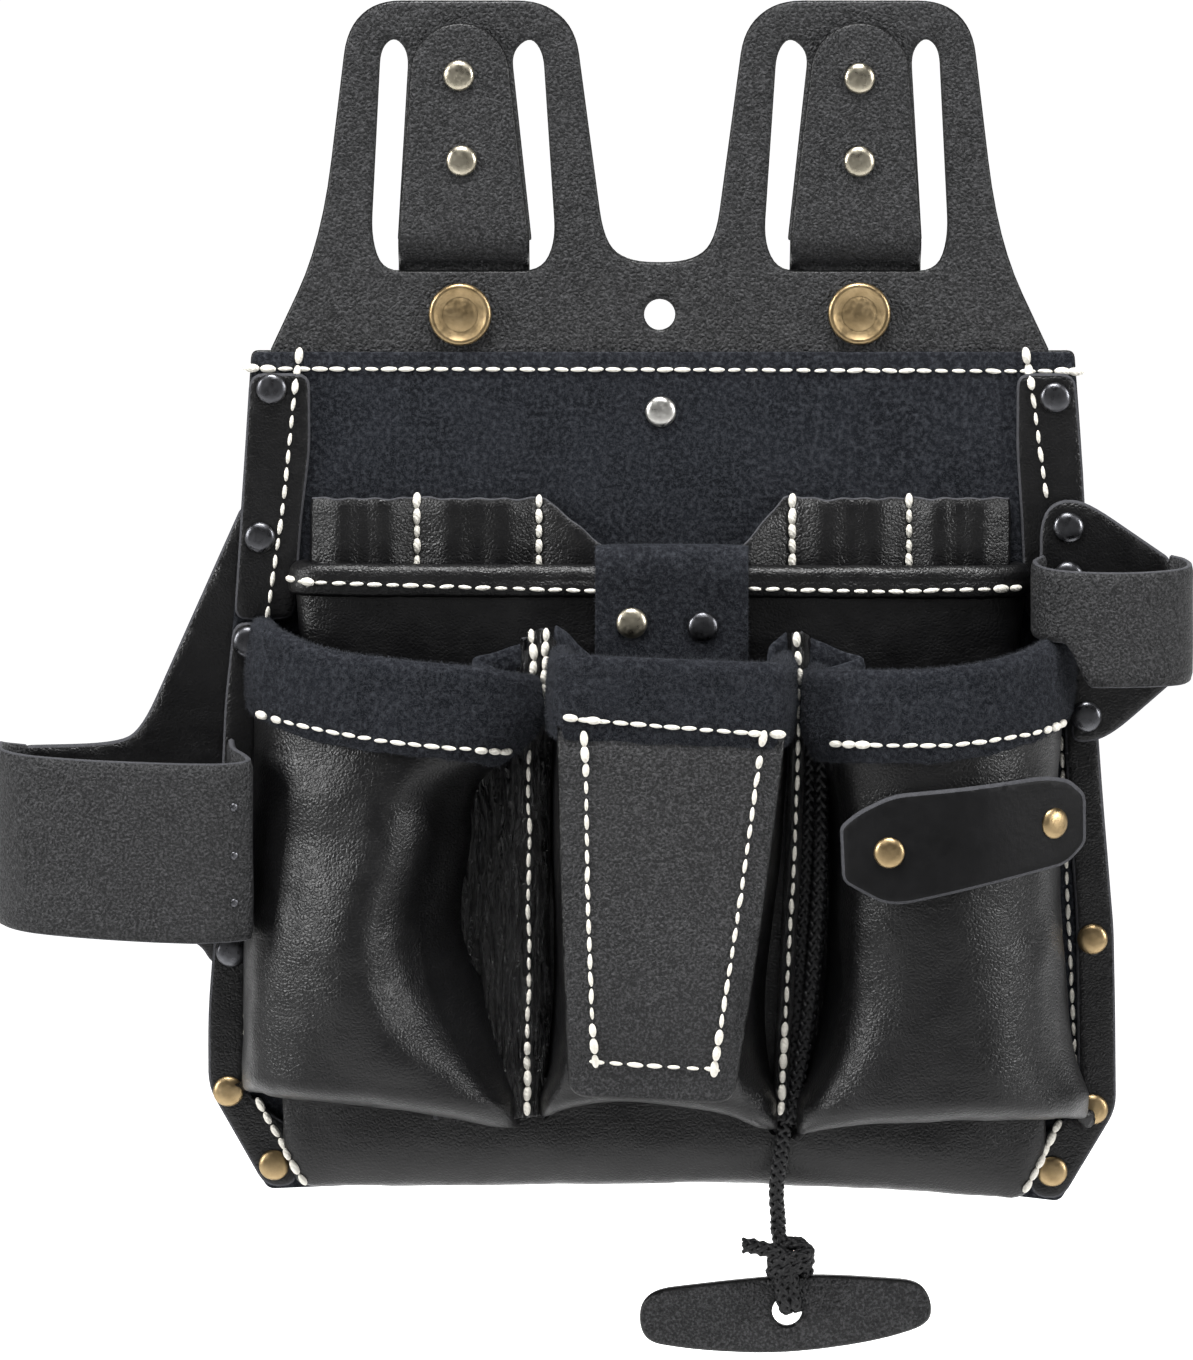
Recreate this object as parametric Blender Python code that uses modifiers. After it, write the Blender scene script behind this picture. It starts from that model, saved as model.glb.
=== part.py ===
"""Electrician tool pouch: riveted leather yoke, body panels, four pockets, two tool loops, toggle cord.

Metres.  +X is the wearer's left-hand side of the front view (viewer's right), +Z up, +Y towards the hip.
The origin is on the yoke's back face, on the centreline, under the notch between the two belt hangers.
"""
import math

import bmesh
import bpy
from mathutils import Vector

MM = 0.001

# ---- leather thicknesses and layer planes (mm, front is -Y) ----
GAP = 0.3
BACK_PLANE = (0.3, 2.8)
YOKE_PLANE = (-3.2, 0.0)
SUEDE_PLANE = (-5.0, -3.5)
EDGE_PLANE = (-7.5, -5.3)
EAR_PLANE = (-10.4, -7.8)
STRAP_PLANE = (-6.0, -3.5)
POCKET_T = 2.4
BASE_Y = -5.3
HOLE_R = 1.5
FOOT_HOLE_R = 2.9
SHANK_R = 1.15
FOOT_R = 2.5

# ---- seam where the yoke flexes ----
FLEX_Z = -18.5
TOP_Z = -18.9

# ---- body outline, left and right edges, from top to bottom (x, z) ----
LEFT_EDGE = [(-110.7, TOP_Z), (-113.7, -62.0), (-115.6, -86.0), (-118.3, -113.5), (-121.8, -182.0),
             (-123.4, -200.0), (-123.4, -220.0), (-107.5, -248.5)]
RIGHT_EDGE = [(112.5, TOP_Z), (115.0, -50.0), (117.0, -86.0), (120.7, -138.0), (124.2, -176.0),
              (124.8, -200.0), (125.2, -226.0), (110.2, -252.0)]
BOTTOM_EDGE = [(80.0, -248.5), (54.0, -247.5), (0.0, -246.5), (-70.0, -247.0)]

# ---- middle pocket: half width, depth and bottom ----
MID_HALF = 97.0
MID_DEPTH = 14.0
MID_POWER = 4.0
BASE_HALF = 107.0
MID_TOP = -78.5
MID_BOTTOM = -246.0


def clear_scene():
    for ob in list(bpy.data.objects):
        bpy.data.objects.remove(ob, do_unlink=True)


def material(name, colour, rough, metal):
    mat = bpy.data.materials.new(name)
    mat.use_nodes = True
    shader = mat.node_tree.nodes["Principled BSDF"]
    shader.inputs["Base Color"].default_value = (colour[0], colour[1], colour[2], 1.0)
    shader.inputs["Roughness"].default_value = rough
    shader.inputs["Metallic"].default_value = metal
    mat.diffuse_color = (colour[0], colour[1], colour[2], 1.0)
    return mat


FINISH = {
    "pebbled_leather": ((0.032, 0.035, 0.038), 0.75, 0.0),
    "smooth_leather": ((0.018, 0.019, 0.022), 0.45, 0.0),
    "suede": ((0.010, 0.013, 0.022), 0.95, 0.0),
    "label_leather": ((0.020, 0.020, 0.022), 0.5, 0.0),
    "gunmetal": ((0.06, 0.06, 0.065), 0.4, 1.0),
    "antique_brass": ((0.30, 0.21, 0.10), 0.4, 1.0),
    "pale_nickel": ((0.55, 0.50, 0.40), 0.3, 1.0),
    "silver": ((0.7, 0.7, 0.7), 0.25, 1.0),
    "cord": ((0.010, 0.010, 0.011), 0.85, 0.0),
}


def finish(ob, slot):
    """Gives the object its own material of the named finish."""
    colour, rough, metal = FINISH[slot]
    ob.data.materials.append(material(ob.name + "_" + slot, colour, rough, metal))
    return ob


def inside(poly, x, z):
    hit = False
    for i in range(len(poly)):
        x0, z0 = poly[i - 1]
        x1, z1 = poly[i]
        if (z0 > z) != (z1 > z) and x < x0 + (x1 - x0) * (z - z0) / (z1 - z0):
            hit = not hit
    return hit


def rounded(points, radii, steps=4):
    """Polygon with each corner replaced by an arc-like quadratic blend."""
    out = []
    n = len(points)
    for i in range(n):
        r = radii[i] if isinstance(radii, (list, tuple)) else radii
        p = Vector(points[i])
        if r <= 0.0:
            out.append((p.x, p.y))
            continue
        a = Vector(points[i - 1]) - p
        b = Vector(points[(i + 1) % n]) - p
        ra = min(r, a.length * 0.45)
        rb = min(r, b.length * 0.45)
        pa = p + a.normalized() * ra
        pb = p + b.normalized() * rb
        for k in range(steps + 1):
            t = k / steps
            q = pa * (1 - t) ** 2 + p * 2 * t * (1 - t) + pb * t ** 2
            out.append((q.x, q.y))
    return out


def add_spline(curve, points):
    sp = curve.splines.new("POLY")
    sp.points.add(len(points) - 1)
    for k, (x, z) in enumerate(points):
        sp.points[k].co = (x * MM, z * MM, 0.0, 1.0)
    sp.use_cyclic_u = True


def circle(x, z, r, steps=10):
    return [(x + r * math.cos(2 * math.pi * k / steps), z + r * math.sin(2 * math.pi * k / steps))
            for k in range(steps)]


def plate(name, outline, plane, slot, holes=()):
    """Flat leather blank between two Y planes, with any holes cut through it."""
    curve = bpy.data.curves.new(name, "CURVE")
    curve.dimensions = "2D"
    curve.fill_mode = "BOTH"
    curve.extrude = (plane[1] - plane[0]) / 2 * MM
    add_spline(curve, outline)
    for h in holes:
        add_spline(curve, h)
    ob = bpy.data.objects.new(name, curve)
    ob.rotation_euler = (math.pi / 2, 0.0, 0.0)
    ob.location = (0.0, (plane[0] + plane[1]) / 2 * MM, 0.0)
    bpy.context.scene.collection.objects.link(ob)
    return finish(ob, slot)


def mesh_object(name, verts, faces, slot):
    mesh = bpy.data.meshes.new(name)
    mesh.from_pydata([(v[0] * MM, v[1] * MM, v[2] * MM) for v in verts], [], faces)
    mesh.validate()
    bm = bmesh.new()
    bm.from_mesh(mesh)
    bmesh.ops.recalc_face_normals(bm, faces=bm.faces)
    if bm.calc_volume(signed=True) < 0.0:
        bmesh.ops.reverse_faces(bm, faces=bm.faces)
    bm.to_mesh(mesh)
    bm.free()
    ob = bpy.data.objects.new(name, mesh)
    bpy.context.scene.collection.objects.link(ob)
    return finish(ob, slot)


def loft(name, outer, inner, slot):
    """Closed shell between two grids of points with the same row and column counts."""
    rows = len(outer)
    cols = len(outer[0])
    verts = [p for row in outer for p in row] + [p for row in inner for p in row]
    off = rows * cols

    def at(r, c, k):
        return k * off + r * cols + c

    faces = []
    for r in range(rows - 1):
        for c in range(cols - 1):
            faces.append((at(r, c, 0), at(r, c + 1, 0), at(r + 1, c + 1, 0), at(r + 1, c, 0)))
            faces.append((at(r, c, 1), at(r + 1, c, 1), at(r + 1, c + 1, 1), at(r, c + 1, 1)))
    for c in range(cols - 1):
        faces.append((at(0, c, 0), at(0, c, 1), at(0, c + 1, 1), at(0, c + 1, 0)))
        faces.append((at(rows - 1, c, 0), at(rows - 1, c + 1, 0), at(rows - 1, c + 1, 1), at(rows - 1, c, 1)))
    for r in range(rows - 1):
        faces.append((at(r, 0, 0), at(r + 1, 0, 0), at(r + 1, 0, 1), at(r, 0, 1)))
        faces.append((at(r, cols - 1, 0), at(r, cols - 1, 1), at(r + 1, cols - 1, 1), at(r + 1, cols - 1, 0)))
    return mesh_object(name, verts, faces, slot)


def sweep(name, sections, slot):
    """Closed bar through a list of equal-length polygon sections."""
    m = len(sections[0])
    verts = [p for s in sections for p in s]
    faces = []
    for k in range(len(sections) - 1):
        for j in range(m):
            a = k * m + j
            b = k * m + (j + 1) % m
            faces.append((a, b, b + m, a + m))
    faces.append(tuple(range(m)))
    last = (len(sections) - 1) * m
    faces.append(tuple(reversed(range(last, last + m))))
    return mesh_object(name, verts, faces, slot)


def band(name, path, tops, bottoms, thick, slot):
    """Upright leather band: a plan path (x, y) with its own top and bottom height at each point."""
    sections = []
    for k, (x, y) in enumerate(path):
        p = Vector((x, y))
        a = Vector(path[max(k - 1, 0)])
        b = Vector(path[min(k + 1, len(path) - 1)])
        d0 = (p - a).normalized() if k > 0 else (b - p).normalized()
        d1 = (b - p).normalized() if k < len(path) - 1 else d0
        d = (d0 + d1).normalized()
        n = Vector((-d.y, d.x))
        h = thick / 2 / max(0.5, abs(n.dot(Vector((-d0.y, d0.x)))))
        o = p + n * h
        i = p - n * h
        sections.append([(o.x, o.y, tops[k]), (i.x, i.y, tops[k]), (i.x, i.y, bottoms[k]), (o.x, o.y, bottoms[k])])
    return sweep(name, sections, slot)


def smooth(points, steps=3):
    """Catmull-Rom curve through the points, of any dimension."""
    out = []
    n = len(points)
    for i in range(n - 1):
        p0 = Vector(points[max(i - 1, 0)])
        p1 = Vector(points[i])
        p2 = Vector(points[i + 1])
        p3 = Vector(points[min(i + 2, n - 1)])
        for k in range(steps):
            t = k / steps
            q = (p1 * 2 + (p2 - p0) * t + (p0 * 2 - p1 * 5 + p2 * 4 - p3) * t * t
                 + (p1 * 3 - p0 - p2 * 3 + p3) * t ** 3) * 0.5
            out.append(tuple(q))
    out.append(tuple(points[-1]))
    return out


def tube(name, points, radius, slot, resolution=2):
    curve = bpy.data.curves.new(name, "CURVE")
    curve.dimensions = "3D"
    curve.bevel_depth = radius * MM
    curve.bevel_resolution = resolution
    curve.use_fill_caps = True
    sp = curve.splines.new("POLY")
    sp.points.add(len(points) - 1)
    for k, p in enumerate(points):
        sp.points[k].co = (p[0] * MM, p[1] * MM, p[2] * MM, 1.0)
    ob = bpy.data.objects.new(name, curve)
    bpy.context.scene.collection.objects.link(ob)
    return finish(ob, slot)


def turned(name, profile, where, normal, slot, steps=12):
    """Solid of revolution; profile is (radius, height along the outward normal), top first."""
    mesh = bpy.data.meshes.new(name)
    verts = [(r * MM, 0.0, h * MM) for r, h in profile]
    mesh.from_pydata(verts, [(k, k + 1) for k in range(len(verts) - 1)], [])
    ob = bpy.data.objects.new(name, mesh)
    mod = ob.modifiers.new("turn", "SCREW")
    mod.axis = "Z"
    mod.angle = 2 * math.pi
    mod.steps = steps
    mod.render_steps = steps
    mod.use_merge_vertices = True
    mod.merge_threshold = 1e-5
    mod.use_smooth_shade = False
    ob.rotation_euler = Vector(normal).to_track_quat("Z", "Y").to_euler()
    ob.location = (where[0] * MM, where[1] * MM, where[2] * MM)
    bpy.context.scene.collection.objects.link(ob)
    return finish(ob, slot)


# ---- rivets through the flat layers: name, x, z, front plane, finish ----
STACK_BACK = YOKE_PLANE[1] + GAP
EDGE_FRONT = EDGE_PLANE[0] - GAP
EDGE_RIVETS = [
    ("rivet_left_top", -105.0, -28.6, EDGE_FRONT, "gunmetal"),
    ("rivet_left_upper", -108.3, -69.0, EDGE_FRONT, "gunmetal"),
    ("rivet_left_middle", -111.6, -97.5, EDGE_FRONT, "gunmetal"),
    ("rivet_left_lower", -116.6, -182.5, EDGE_FRONT, "gunmetal"),
    ("rivet_left_bottom", -117.6, -221.0, EDGE_FRONT, "antique_brass"),
    ("rivet_left_corner", -105.2, -241.4, EDGE_FRONT, "antique_brass"),
    ("rivet_right_top", 107.0, -31.0, EDGE_FRONT, "gunmetal"),
    ("rivet_right_upper", 110.6, -66.0, EAR_PLANE[0] - GAP, "gunmetal"),
    ("rivet_right_middle", 110.6, -79.5, EAR_PLANE[0] - GAP, "gunmetal"),
    ("rivet_right_waist", 115.8, -117.6, EAR_PLANE[0] - GAP, "gunmetal"),
    ("rivet_right_lower", 118.0, -179.0, EDGE_FRONT, "antique_brass"),
    ("rivet_right_bottom", 118.4, -226.0, EDGE_FRONT, "antique_brass"),
    ("rivet_right_corner", 107.4, -243.2, EDGE_FRONT, "antique_brass"),
    ("rivet_centre", 0.3, -35.0, SUEDE_PLANE[0] - GAP, "silver"),
]
STRAP_RIVETS = [
    ("rivet_strap_left_top", -54.2, 56.0),
    ("rivet_strap_left_low", -53.5, 33.0),
    ("rivet_strap_right_top", 53.8, 55.2),
    ("rivet_strap_right_low", 53.8, 32.8),
]
CAPS = [("cap_left", -54.0, -8.7), ("cap_right", 54.0, -8.5)]


def rivet_holes(outline, radius=HOLE_R):
    """Holes for every rivet that stands inside the outline."""
    return [circle(x, z, radius) for _, x, z, _, _ in EDGE_RIVETS if inside(outline, x, z)]


def make_rivet(name, x, z, front, back, slot, head=4.2):
    length = back - front
    profile = [(0.0, 1.4), (2.5 * head / 4.2, 1.15), (head, 0.0), (SHANK_R, 0.0), (SHANK_R, -length),
               (FOOT_R, -length), (FOOT_R, -length - 0.8), (0.0, -length - 0.8)]
    return turned(name, profile, (x, front, z), (0.0, -1.0, 0.0), slot)


# ---- yoke ----
def yoke_outline():
    left = [(-105.3, FLEX_Z + 0.3), (-91.5, 11.0), (-84.4, 68.5), (-76.4, 76.0), (-31.6, 76.0), (-22.7, 68.4),
            (-15.0, 10.5), (-8.0, 5.3)]
    right = [(-x, z) for x, z in reversed(left)]
    radii = [0.0, 16.0, 6.0, 6.0, 6.0, 6.0, 8.0, 6.0]
    return rounded(left + right, radii + list(reversed(radii)))


def slot_outline(side):
    """Two belt slots of one hanger joined by the slit that lets the strap through."""
    pts = [(-71.5, 66.4), (-75.3, 63.0), (-78.0, 12.0), (-75.0, 3.0), (-32.0, 3.0), (-28.2, 11.0),
           (-31.5, 62.0), (-35.0, 66.4), (-40.0, 62.0), (-34.6, 11.2), (-70.9, 11.2), (-67.8, 62.0)]
    radii = [2.0, 2.0, 4.0, 4.0, 3.0, 4.0, 2.0, 2.0, 2.0, 0.8, 0.8, 2.0]
    return [(x * side, z) for x, z in rounded(pts, radii, 3)]


def build_yoke():
    holes = [slot_outline(1), slot_outline(-1), circle(0.0, -8.9, 4.2, 20)]
    holes += [circle(x, z, HOLE_R) for _, x, z in STRAP_RIVETS]
    holes += [circle(x, z, 2.4) for _, x, z in CAPS]
    plate("yoke", yoke_outline(), YOKE_PLANE, "pebbled_leather", holes)


def build_strap(name, side):
    """Belt strap riveted over the hanger's middle strip, then led through the slit behind the yoke."""
    mid_front = (STRAP_PLANE[0] + STRAP_PLANE[1]) / 2
    line = [(mid_front, z) for z in (70.2, 68.6, 65.5, 60.0, 30.0, 14.0)]
    line += [(mid_front, 10.4), (-3.9, 8.6), (-2.2, 7.4), (-0.2, 6.6), (1.2, 5.2), (1.55, 3.4), (1.55, -17.6)]
    half = (STRAP_PLANE[1] - STRAP_PLANE[0]) / 2
    outer = []
    inner = []
    for k, (y, z) in enumerate(line):
        a = Vector(line[max(k - 1, 0)])
        b = Vector(line[min(k + 1, len(line) - 1)])
        d = (b - a).normalized()
        n = Vector((d.y, -d.x))
        f = min(1.0, max(0.0, (62.0 - z) / 52.0))
        far = 67.3 + 3.4 * f
        near = 40.5 - 5.3 * f
        if z > 60.0:
            trim = 1.0 - math.sqrt(max(0.0, 1.0 - ((z - 60.0) / 10.6) ** 2))
            far -= trim * 9.0
            near += trim * 9.0
        xs = [far - (far - near) * c / 4 for c in range(5)]
        outer.append([(side * x, y + n.x * half, z + n.y * half) for x in xs])
        inner.append([(side * x, y - n.x * half, z - n.y * half) for x in xs])
    ob = loft(name, outer, inner, "pebbled_leather")
    spots = [(x, z) for _, x, z in STRAP_RIVETS if x * side > 0]
    spots += [(x, z) for _, x, z in CAPS if x * side > 0]
    for k, (x, z) in enumerate(spots):
        drill(ob, name, k, x, z, HOLE_R if z > 0 else 2.4)


def drill(ob, name, k, x, z, radius):
    mesh = bpy.data.meshes.new(name + "_drill")
    ring = circle(x, z, radius, 10)
    verts = [(a * MM, -0.012, b * MM) for a, b in ring] + [(a * MM, 0.008, b * MM) for a, b in ring]
    n = len(ring)
    faces = [(i, (i + 1) % n, n + (i + 1) % n, n + i) for i in range(n)]
    faces.append(tuple(reversed(range(n))))
    faces.append(tuple(range(n, 2 * n)))
    mesh.from_pydata(verts, [], faces)
    bm = bmesh.new()
    bm.from_mesh(mesh)
    bmesh.ops.recalc_face_normals(bm, faces=bm.faces)
    bm.to_mesh(mesh)
    bm.free()
    cutter = bpy.data.objects.new(name + "_drill_" + str(k), mesh)
    CUTTERS.objects.link(cutter)
    cutter.hide_render = True
    cutter.display_type = "WIRE"
    mod = ob.modifiers.new("drill_" + str(k), "BOOLEAN")
    mod.operation = "DIFFERENCE"
    mod.solver = "EXACT"
    mod.object = cutter


# ---- body panels ----
WING_TOP = -61.0
WING_FOOT = -187.0


def body_outline(inset=0.0):
    right = [(x - inset, z) for x, z in RIGHT_EDGE]
    left = [(x + inset, z) for x, z in reversed(LEFT_EDGE)]
    return right + BOTTOM_EDGE + left


def build_panels():
    back = body_outline()
    # The lining is punched wider, so that the rivets' feet lie below its surface.
    plate("back_panel", back, BACK_PLANE, "pebbled_leather", rivet_holes(back, FOOT_HOLE_R))
    # The left loop's wing is sewn between the layers, so the yoke leather is cut back round it.
    inner = body_outline(0.2)
    cut = [p for p in inner if not (p[0] < -100.0 and WING_FOOT < p[1] < WING_TOP)]
    place = next(i for i, p in enumerate(cut) if p[0] < -100.0 and p[1] > WING_FOOT)
    notch = [(-122.0, WING_FOOT - 0.4), (-103.0, WING_FOOT - 0.4), (-103.0, WING_TOP + 0.4), (-113.3, WING_TOP + 0.4)]
    inner = cut[:place] + notch + cut[place:]
    plate("yoke_lower", inner, YOKE_PLANE, "pebbled_leather", rivet_holes(inner))
    suede = body_outline(0.5)
    plate("suede_panel", suede, SUEDE_PLANE, "suede", rivet_holes(suede))


def build_edges():
    """Smooth side strips above and pebbled edge strips below, both riveted through the layers."""
    left = [(-110.9, -24.5), (-94.6, -24.5), (-94.6, -45.0), (-97.0, -65.0), (-99.0, -91.5), (-115.5, -91.5),
            (-113.4, -62.0)]
    plate("side_strip_left", left, EDGE_PLANE, "smooth_leather", rivet_holes(left))
    right = [(112.3, -24.5), (114.6, -50.0), (116.8, -91.5), (99.2, -91.5), (98.0, -65.0), (96.6, -45.0),
             (96.6, -24.5)]
    plate("side_strip_right", right, EDGE_PLANE, "smooth_leather", rivet_holes(right))
    left = [(-107.7, -92.2), (-115.6, -92.2), (-118.0, -113.5), (-121.5, -182.0), (-123.0, -200.0),
            (-123.0, -220.0), (-107.6, -247.6), (-99.0, -247.2), (-99.0, -232.0), (-112.9, -222.0),
            (-112.9, -214.0), (-111.6, -182.0), (-109.4, -130.0)]
    plate("edge_strip_left", left, EDGE_PLANE, "pebbled_leather", rivet_holes(left))
    right = [(109.3, -92.2), (110.4, -130.0), (113.6, -175.0), (114.4, -225.8), (101.5, -236.0),
             (101.5, -250.0), (110.0, -251.2), (124.8, -226.0), (124.4, -200.0), (123.8, -176.0),
             (120.3, -138.0), (117.2, -92.2)]
    plate("edge_strip_right", right, EDGE_PLANE, "pebbled_leather", rivet_holes(right))


# ---- pockets ----
def mid_front(x):
    u = min(1.0, abs(x) / MID_HALF)
    return BASE_Y - MID_DEPTH * (1.0 - u ** MID_POWER) ** (1.0 / MID_POWER)


def base_behind(x):
    """Surface a front pocket is sewn to: just clear of the middle pocket, running out onto the body."""
    u = min(1.0, abs(x) / BASE_HALF)
    return BASE_Y - (MID_DEPTH + 1.0) * (1.0 - u ** 3) ** (1.0 / 3.0)


def lerp_list(table, u):
    for (u0, a), (u1, b) in zip(table, table[1:]):
        if u <= u1:
            return a + (b - a) * max(0.0, (u - u0)) / (u1 - u0)
    return table[-1][1]


class Pocket:
    """Half-round pocket: superellipse in plan, straight wall down, rounded into the panel at the foot."""

    def __init__(self, left, right, top, foot, depth, power, base):
        self.left = left
        self.right = right
        self.top = top
        self.foot = foot
        self.depth = depth
        self.power = power
        self.base = base

    def plan(self, z, off):
        t = (z - self.top[0][1]) / (self.foot[0][1] - self.top[0][1])
        a = self.left[0] + (self.left[1] - self.left[0]) * t - off
        b = self.right[0] + (self.right[1] - self.right[0]) * t + off
        return (a + b) / 2, (b - a) / 2

    def point(self, theta, z, off, shrink=1.0):
        c = math.cos(theta)
        s = max(0.0, math.sin(theta))
        e = 2.0 / self.power
        mid, half = self.plan(z, off)
        x = mid - half * math.copysign(abs(c) ** e, c)
        y = self.base(x) - (self.depth + off) * s ** e * shrink
        return (x, y, z)

    def front(self, x, z, off):
        mid, half = self.plan(z, off)
        u = min(1.0, abs(x - mid) / half)
        return self.base(x) - (self.depth + off) * (1.0 - u ** self.power) ** (1.0 / self.power)

    def grid(self, off, rows, cols, foot_power=7.0, theta0=0.0):
        out = []
        for r in range(rows):
            phi = math.pi / 2 * r / (rows - 1)
            fall = math.sin(phi) ** (2.0 / foot_power) if r else 0.0
            shrink = max(0.0, math.cos(phi)) ** (2.0 / foot_power) if r < rows - 1 else 0.0
            row = []
            for c in range(cols):
                theta = theta0 + (math.pi - 2 * theta0) * c / (cols - 1)
                u = -math.copysign(abs(math.cos(theta)) ** (2.0 / self.power), math.cos(theta))
                z0 = lerp_list(self.top, u)
                z1 = lerp_list(self.foot, u) - off
                row.append(self.point(theta, z0 + (z1 - z0) * fall, off, shrink))
            out.append(row)
        return out


LEFT_POCKET = Pocket((-107.2, -112.4), (-36.4, -36.4), [(-1.0, -93.0), (-0.6, -99.0), (0.0, -102.0), (1.0, -107.5)],
                     [(-1.0, -219.5), (0.3, -220.5), (1.0, -227.5)], 32.0, 2.6, base_behind)
CENTRE_POCKET = Pocket((-30.6, -28.0), (35.4, 26.5), [(-1.0, -98.6), (1.0, -101.0)],
                       [(-1.0, -219.5), (1.0, -219.5)], 34.0, 4.5, base_behind)
RIGHT_POCKET = Pocket((45.4, 42.0), (108.6, 113.4), [(-1.0, -103.5), (0.0, -102.5), (0.6, -101.0), (1.0, -97.0)],
                      [(-1.0, -229.0), (0.0, -226.5), (1.0, -224.5)], 36.0, 2.8, base_behind)
MID_POCKET = Pocket((-MID_HALF, -MID_HALF), (MID_HALF, MID_HALF), [(-1.0, MID_TOP), (1.0, MID_TOP)],
                    [(-1.0, MID_BOTTOM), (1.0, MID_BOTTOM)], MID_DEPTH, MID_POWER, lambda x: BASE_Y)


def build_pocket(name, pocket, slot, rows=9, cols=15):
    loft(name, pocket.grid(0.0, rows, cols), pocket.grid(-POCKET_T, rows, cols), slot)


def build_binding(name, pocket, drop, cols=15):
    """Suede binding folded over the pocket's mouth: a U section carried round the rim."""
    leg = 1.5
    sections = []
    for c in range(cols):
        theta = math.radians(8.0) + math.radians(164.0) * c / (cols - 1)
        u = -math.copysign(abs(math.cos(theta)) ** (2.0 / pocket.power), math.cos(theta))
        z = lerp_list(pocket.top, u)
        low = z - drop
        inner = z - 9.0
        rim = z + GAP
        cap = z + GAP + leg
        t = POCKET_T
        g = 0.7
        shape = [(g + leg, low), (g + leg, cap), (-t - g - leg, cap), (-t - g - leg, inner),
                 (-t - g, inner), (-t - g, rim), (g, rim), (g, low)]
        sections.append([pocket.point(theta, h, off) for off, h in shape])
    sweep(name, sections, "suede")


def draped_patch(name, pocket, rows, thick, slot, cols=11):
    """Flat patch laid on a pocket's front: rows of (z, left x, right x)."""
    outer = []
    inner = []
    for z, a, b in rows:
        xs = [(a + b) / 2 - (b - a) / 2 * math.cos(math.pi * c / (cols - 1)) for c in range(cols)]
        outer.append([(x, pocket.front(x, z, 0.0) - 0.7 - thick, z) for x in xs])
        inner.append([(x, pocket.front(x, z, 0.0) - 0.7, z) for x in xs])
    return loft(name, outer, inner, slot)


LABEL_PATH_END = 92.0


def label_line(x, z):
    """Front of the right pocket, carried on straight past its shoulder."""
    if x <= LABEL_PATH_END:
        return RIGHT_POCKET.front(x, z, 0.0)
    y0 = RIGHT_POCKET.front(LABEL_PATH_END, z, 0.0)
    return y0 + (x - LABEL_PATH_END) * 0.62


def build_label():
    thick = 2.7
    cols = [(47.6, -143.0, -157.0), (52.0, -140.0, -159.6), (60.8, -134.5, -161.6), (75.0, -132.6, -160.0),
            (84.0, -131.5, -158.8), (92.0, -130.6, -158.0), (105.0, -129.5, -156.2), (109.0, -131.4, -155.4),
            (113.8, -136.0, -151.0)]
    outer = []
    inner = []
    for k in range(4):
        row_o = []
        row_i = []
        for x, top, low in cols:
            z = top + (low - top) * k / 3
            y = label_line(x, -146.0) - 0.9
            row_o.append((x, y - thick, z))
            row_i.append((x, y, z))
        outer.append(row_o)
        inner.append(row_i)
    loft("label_patch", outer, inner, "label_leather")


def surface_rivet(name, x, y, z, normal, slot, head=4.2):
    """Rivet head set on a curved face; its shank is left out."""
    profile = [(0.0, 1.5), (2.5 * head / 4.2, 1.2), (head, 0.35), (head, 0.0), (0.0, 0.0)]
    return turned(name, profile, (x, y, z), normal, slot)


def build_front():
    build_pocket("mid_pocket", MID_POCKET, "smooth_leather", 9, 19)
    roll = []
    for c in range(21):
        theta = math.radians(5.0) + math.radians(170.0) * c / 20
        x, y, z = MID_POCKET.point(theta, MID_TOP, -1.2)
        roll.append((x, y, MID_TOP + 0.35 + 2.4))
    tube("mid_pocket_roll", roll, 2.4, "smooth_leather")
    build_pocket("left_pocket", LEFT_POCKET, "smooth_leather")
    build_pocket("centre_pocket", CENTRE_POCKET, "smooth_leather")
    build_pocket("right_pocket", RIGHT_POCKET, "smooth_leather")
    build_binding("left_binding", LEFT_POCKET, 22.5)
    build_binding("centre_binding", CENTRE_POCKET, 17.6)
    build_binding("right_binding", RIGHT_POCKET, 22.0)
    rows = [(-119.6, -27.0, 31.6), (-150.0, -26.6, 29.4), (-190.0, -25.4, 25.0), (-208.0, -24.2, 22.0),
            (-215.0, -21.5, 18.5)]
    draped_patch("centre_patch", CENTRE_POCKET, rows, 2.2, "pebbled_leather")
    build_label()
    for name, x, z in (("rivet_label_left", 61.0, -148.4), ("rivet_label_right", 105.6, -142.0)):
        y = label_line(x, -146.0) - 0.9 - 2.7 - GAP
        slope = (label_line(x + 1.0, -146.0) - label_line(x - 1.0, -146.0)) / 2.0
        normal = Vector((slope, -1.0, 0.0)).normalized()
        surface_rivet(name, x + normal.x * 0.4, y + normal.y * 0.4, z, normal, "antique_brass")


def build_tab():
    """Suede tab hooked over the roll and hanging behind the centre binding."""
    line = [(-13.5, -84.0), (-13.7, -76.0), (-15.0, -71.4), (-18.6, -69.6), (-21.8, -71.6), (-22.6, -76.0),
            (-22.6, -96.0)]
    line = smooth(line, 2)
    outer = []
    inner = []
    for k, (y, z) in enumerate(line):
        a = Vector(line[max(k - 1, 0)])
        b = Vector(line[min(k + 1, len(line) - 1)])
        d = (b - a).normalized()
        n = Vector((d.y, -d.x))
        xs = [-17.0 + 41.0 * c / 3 for c in range(4)]
        outer.append([(x, y + n.x * 0.8, z + n.y * 0.8) for x in xs])
        inner.append([(x, y - n.x * 0.8, z - n.y * 0.8) for x in xs])
    loft("suede_tab", outer, inner, "suede")
    for name, x, z, slot in (("rivet_tab_left", -7.6, -90.5, "pale_nickel"), ("rivet_tab_right", 11.6, -91.6, "gunmetal")):
        surface_rivet(name, x, -22.6 - 0.8 - GAP, z, (0.0, -1.0, 0.0), slot)


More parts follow.
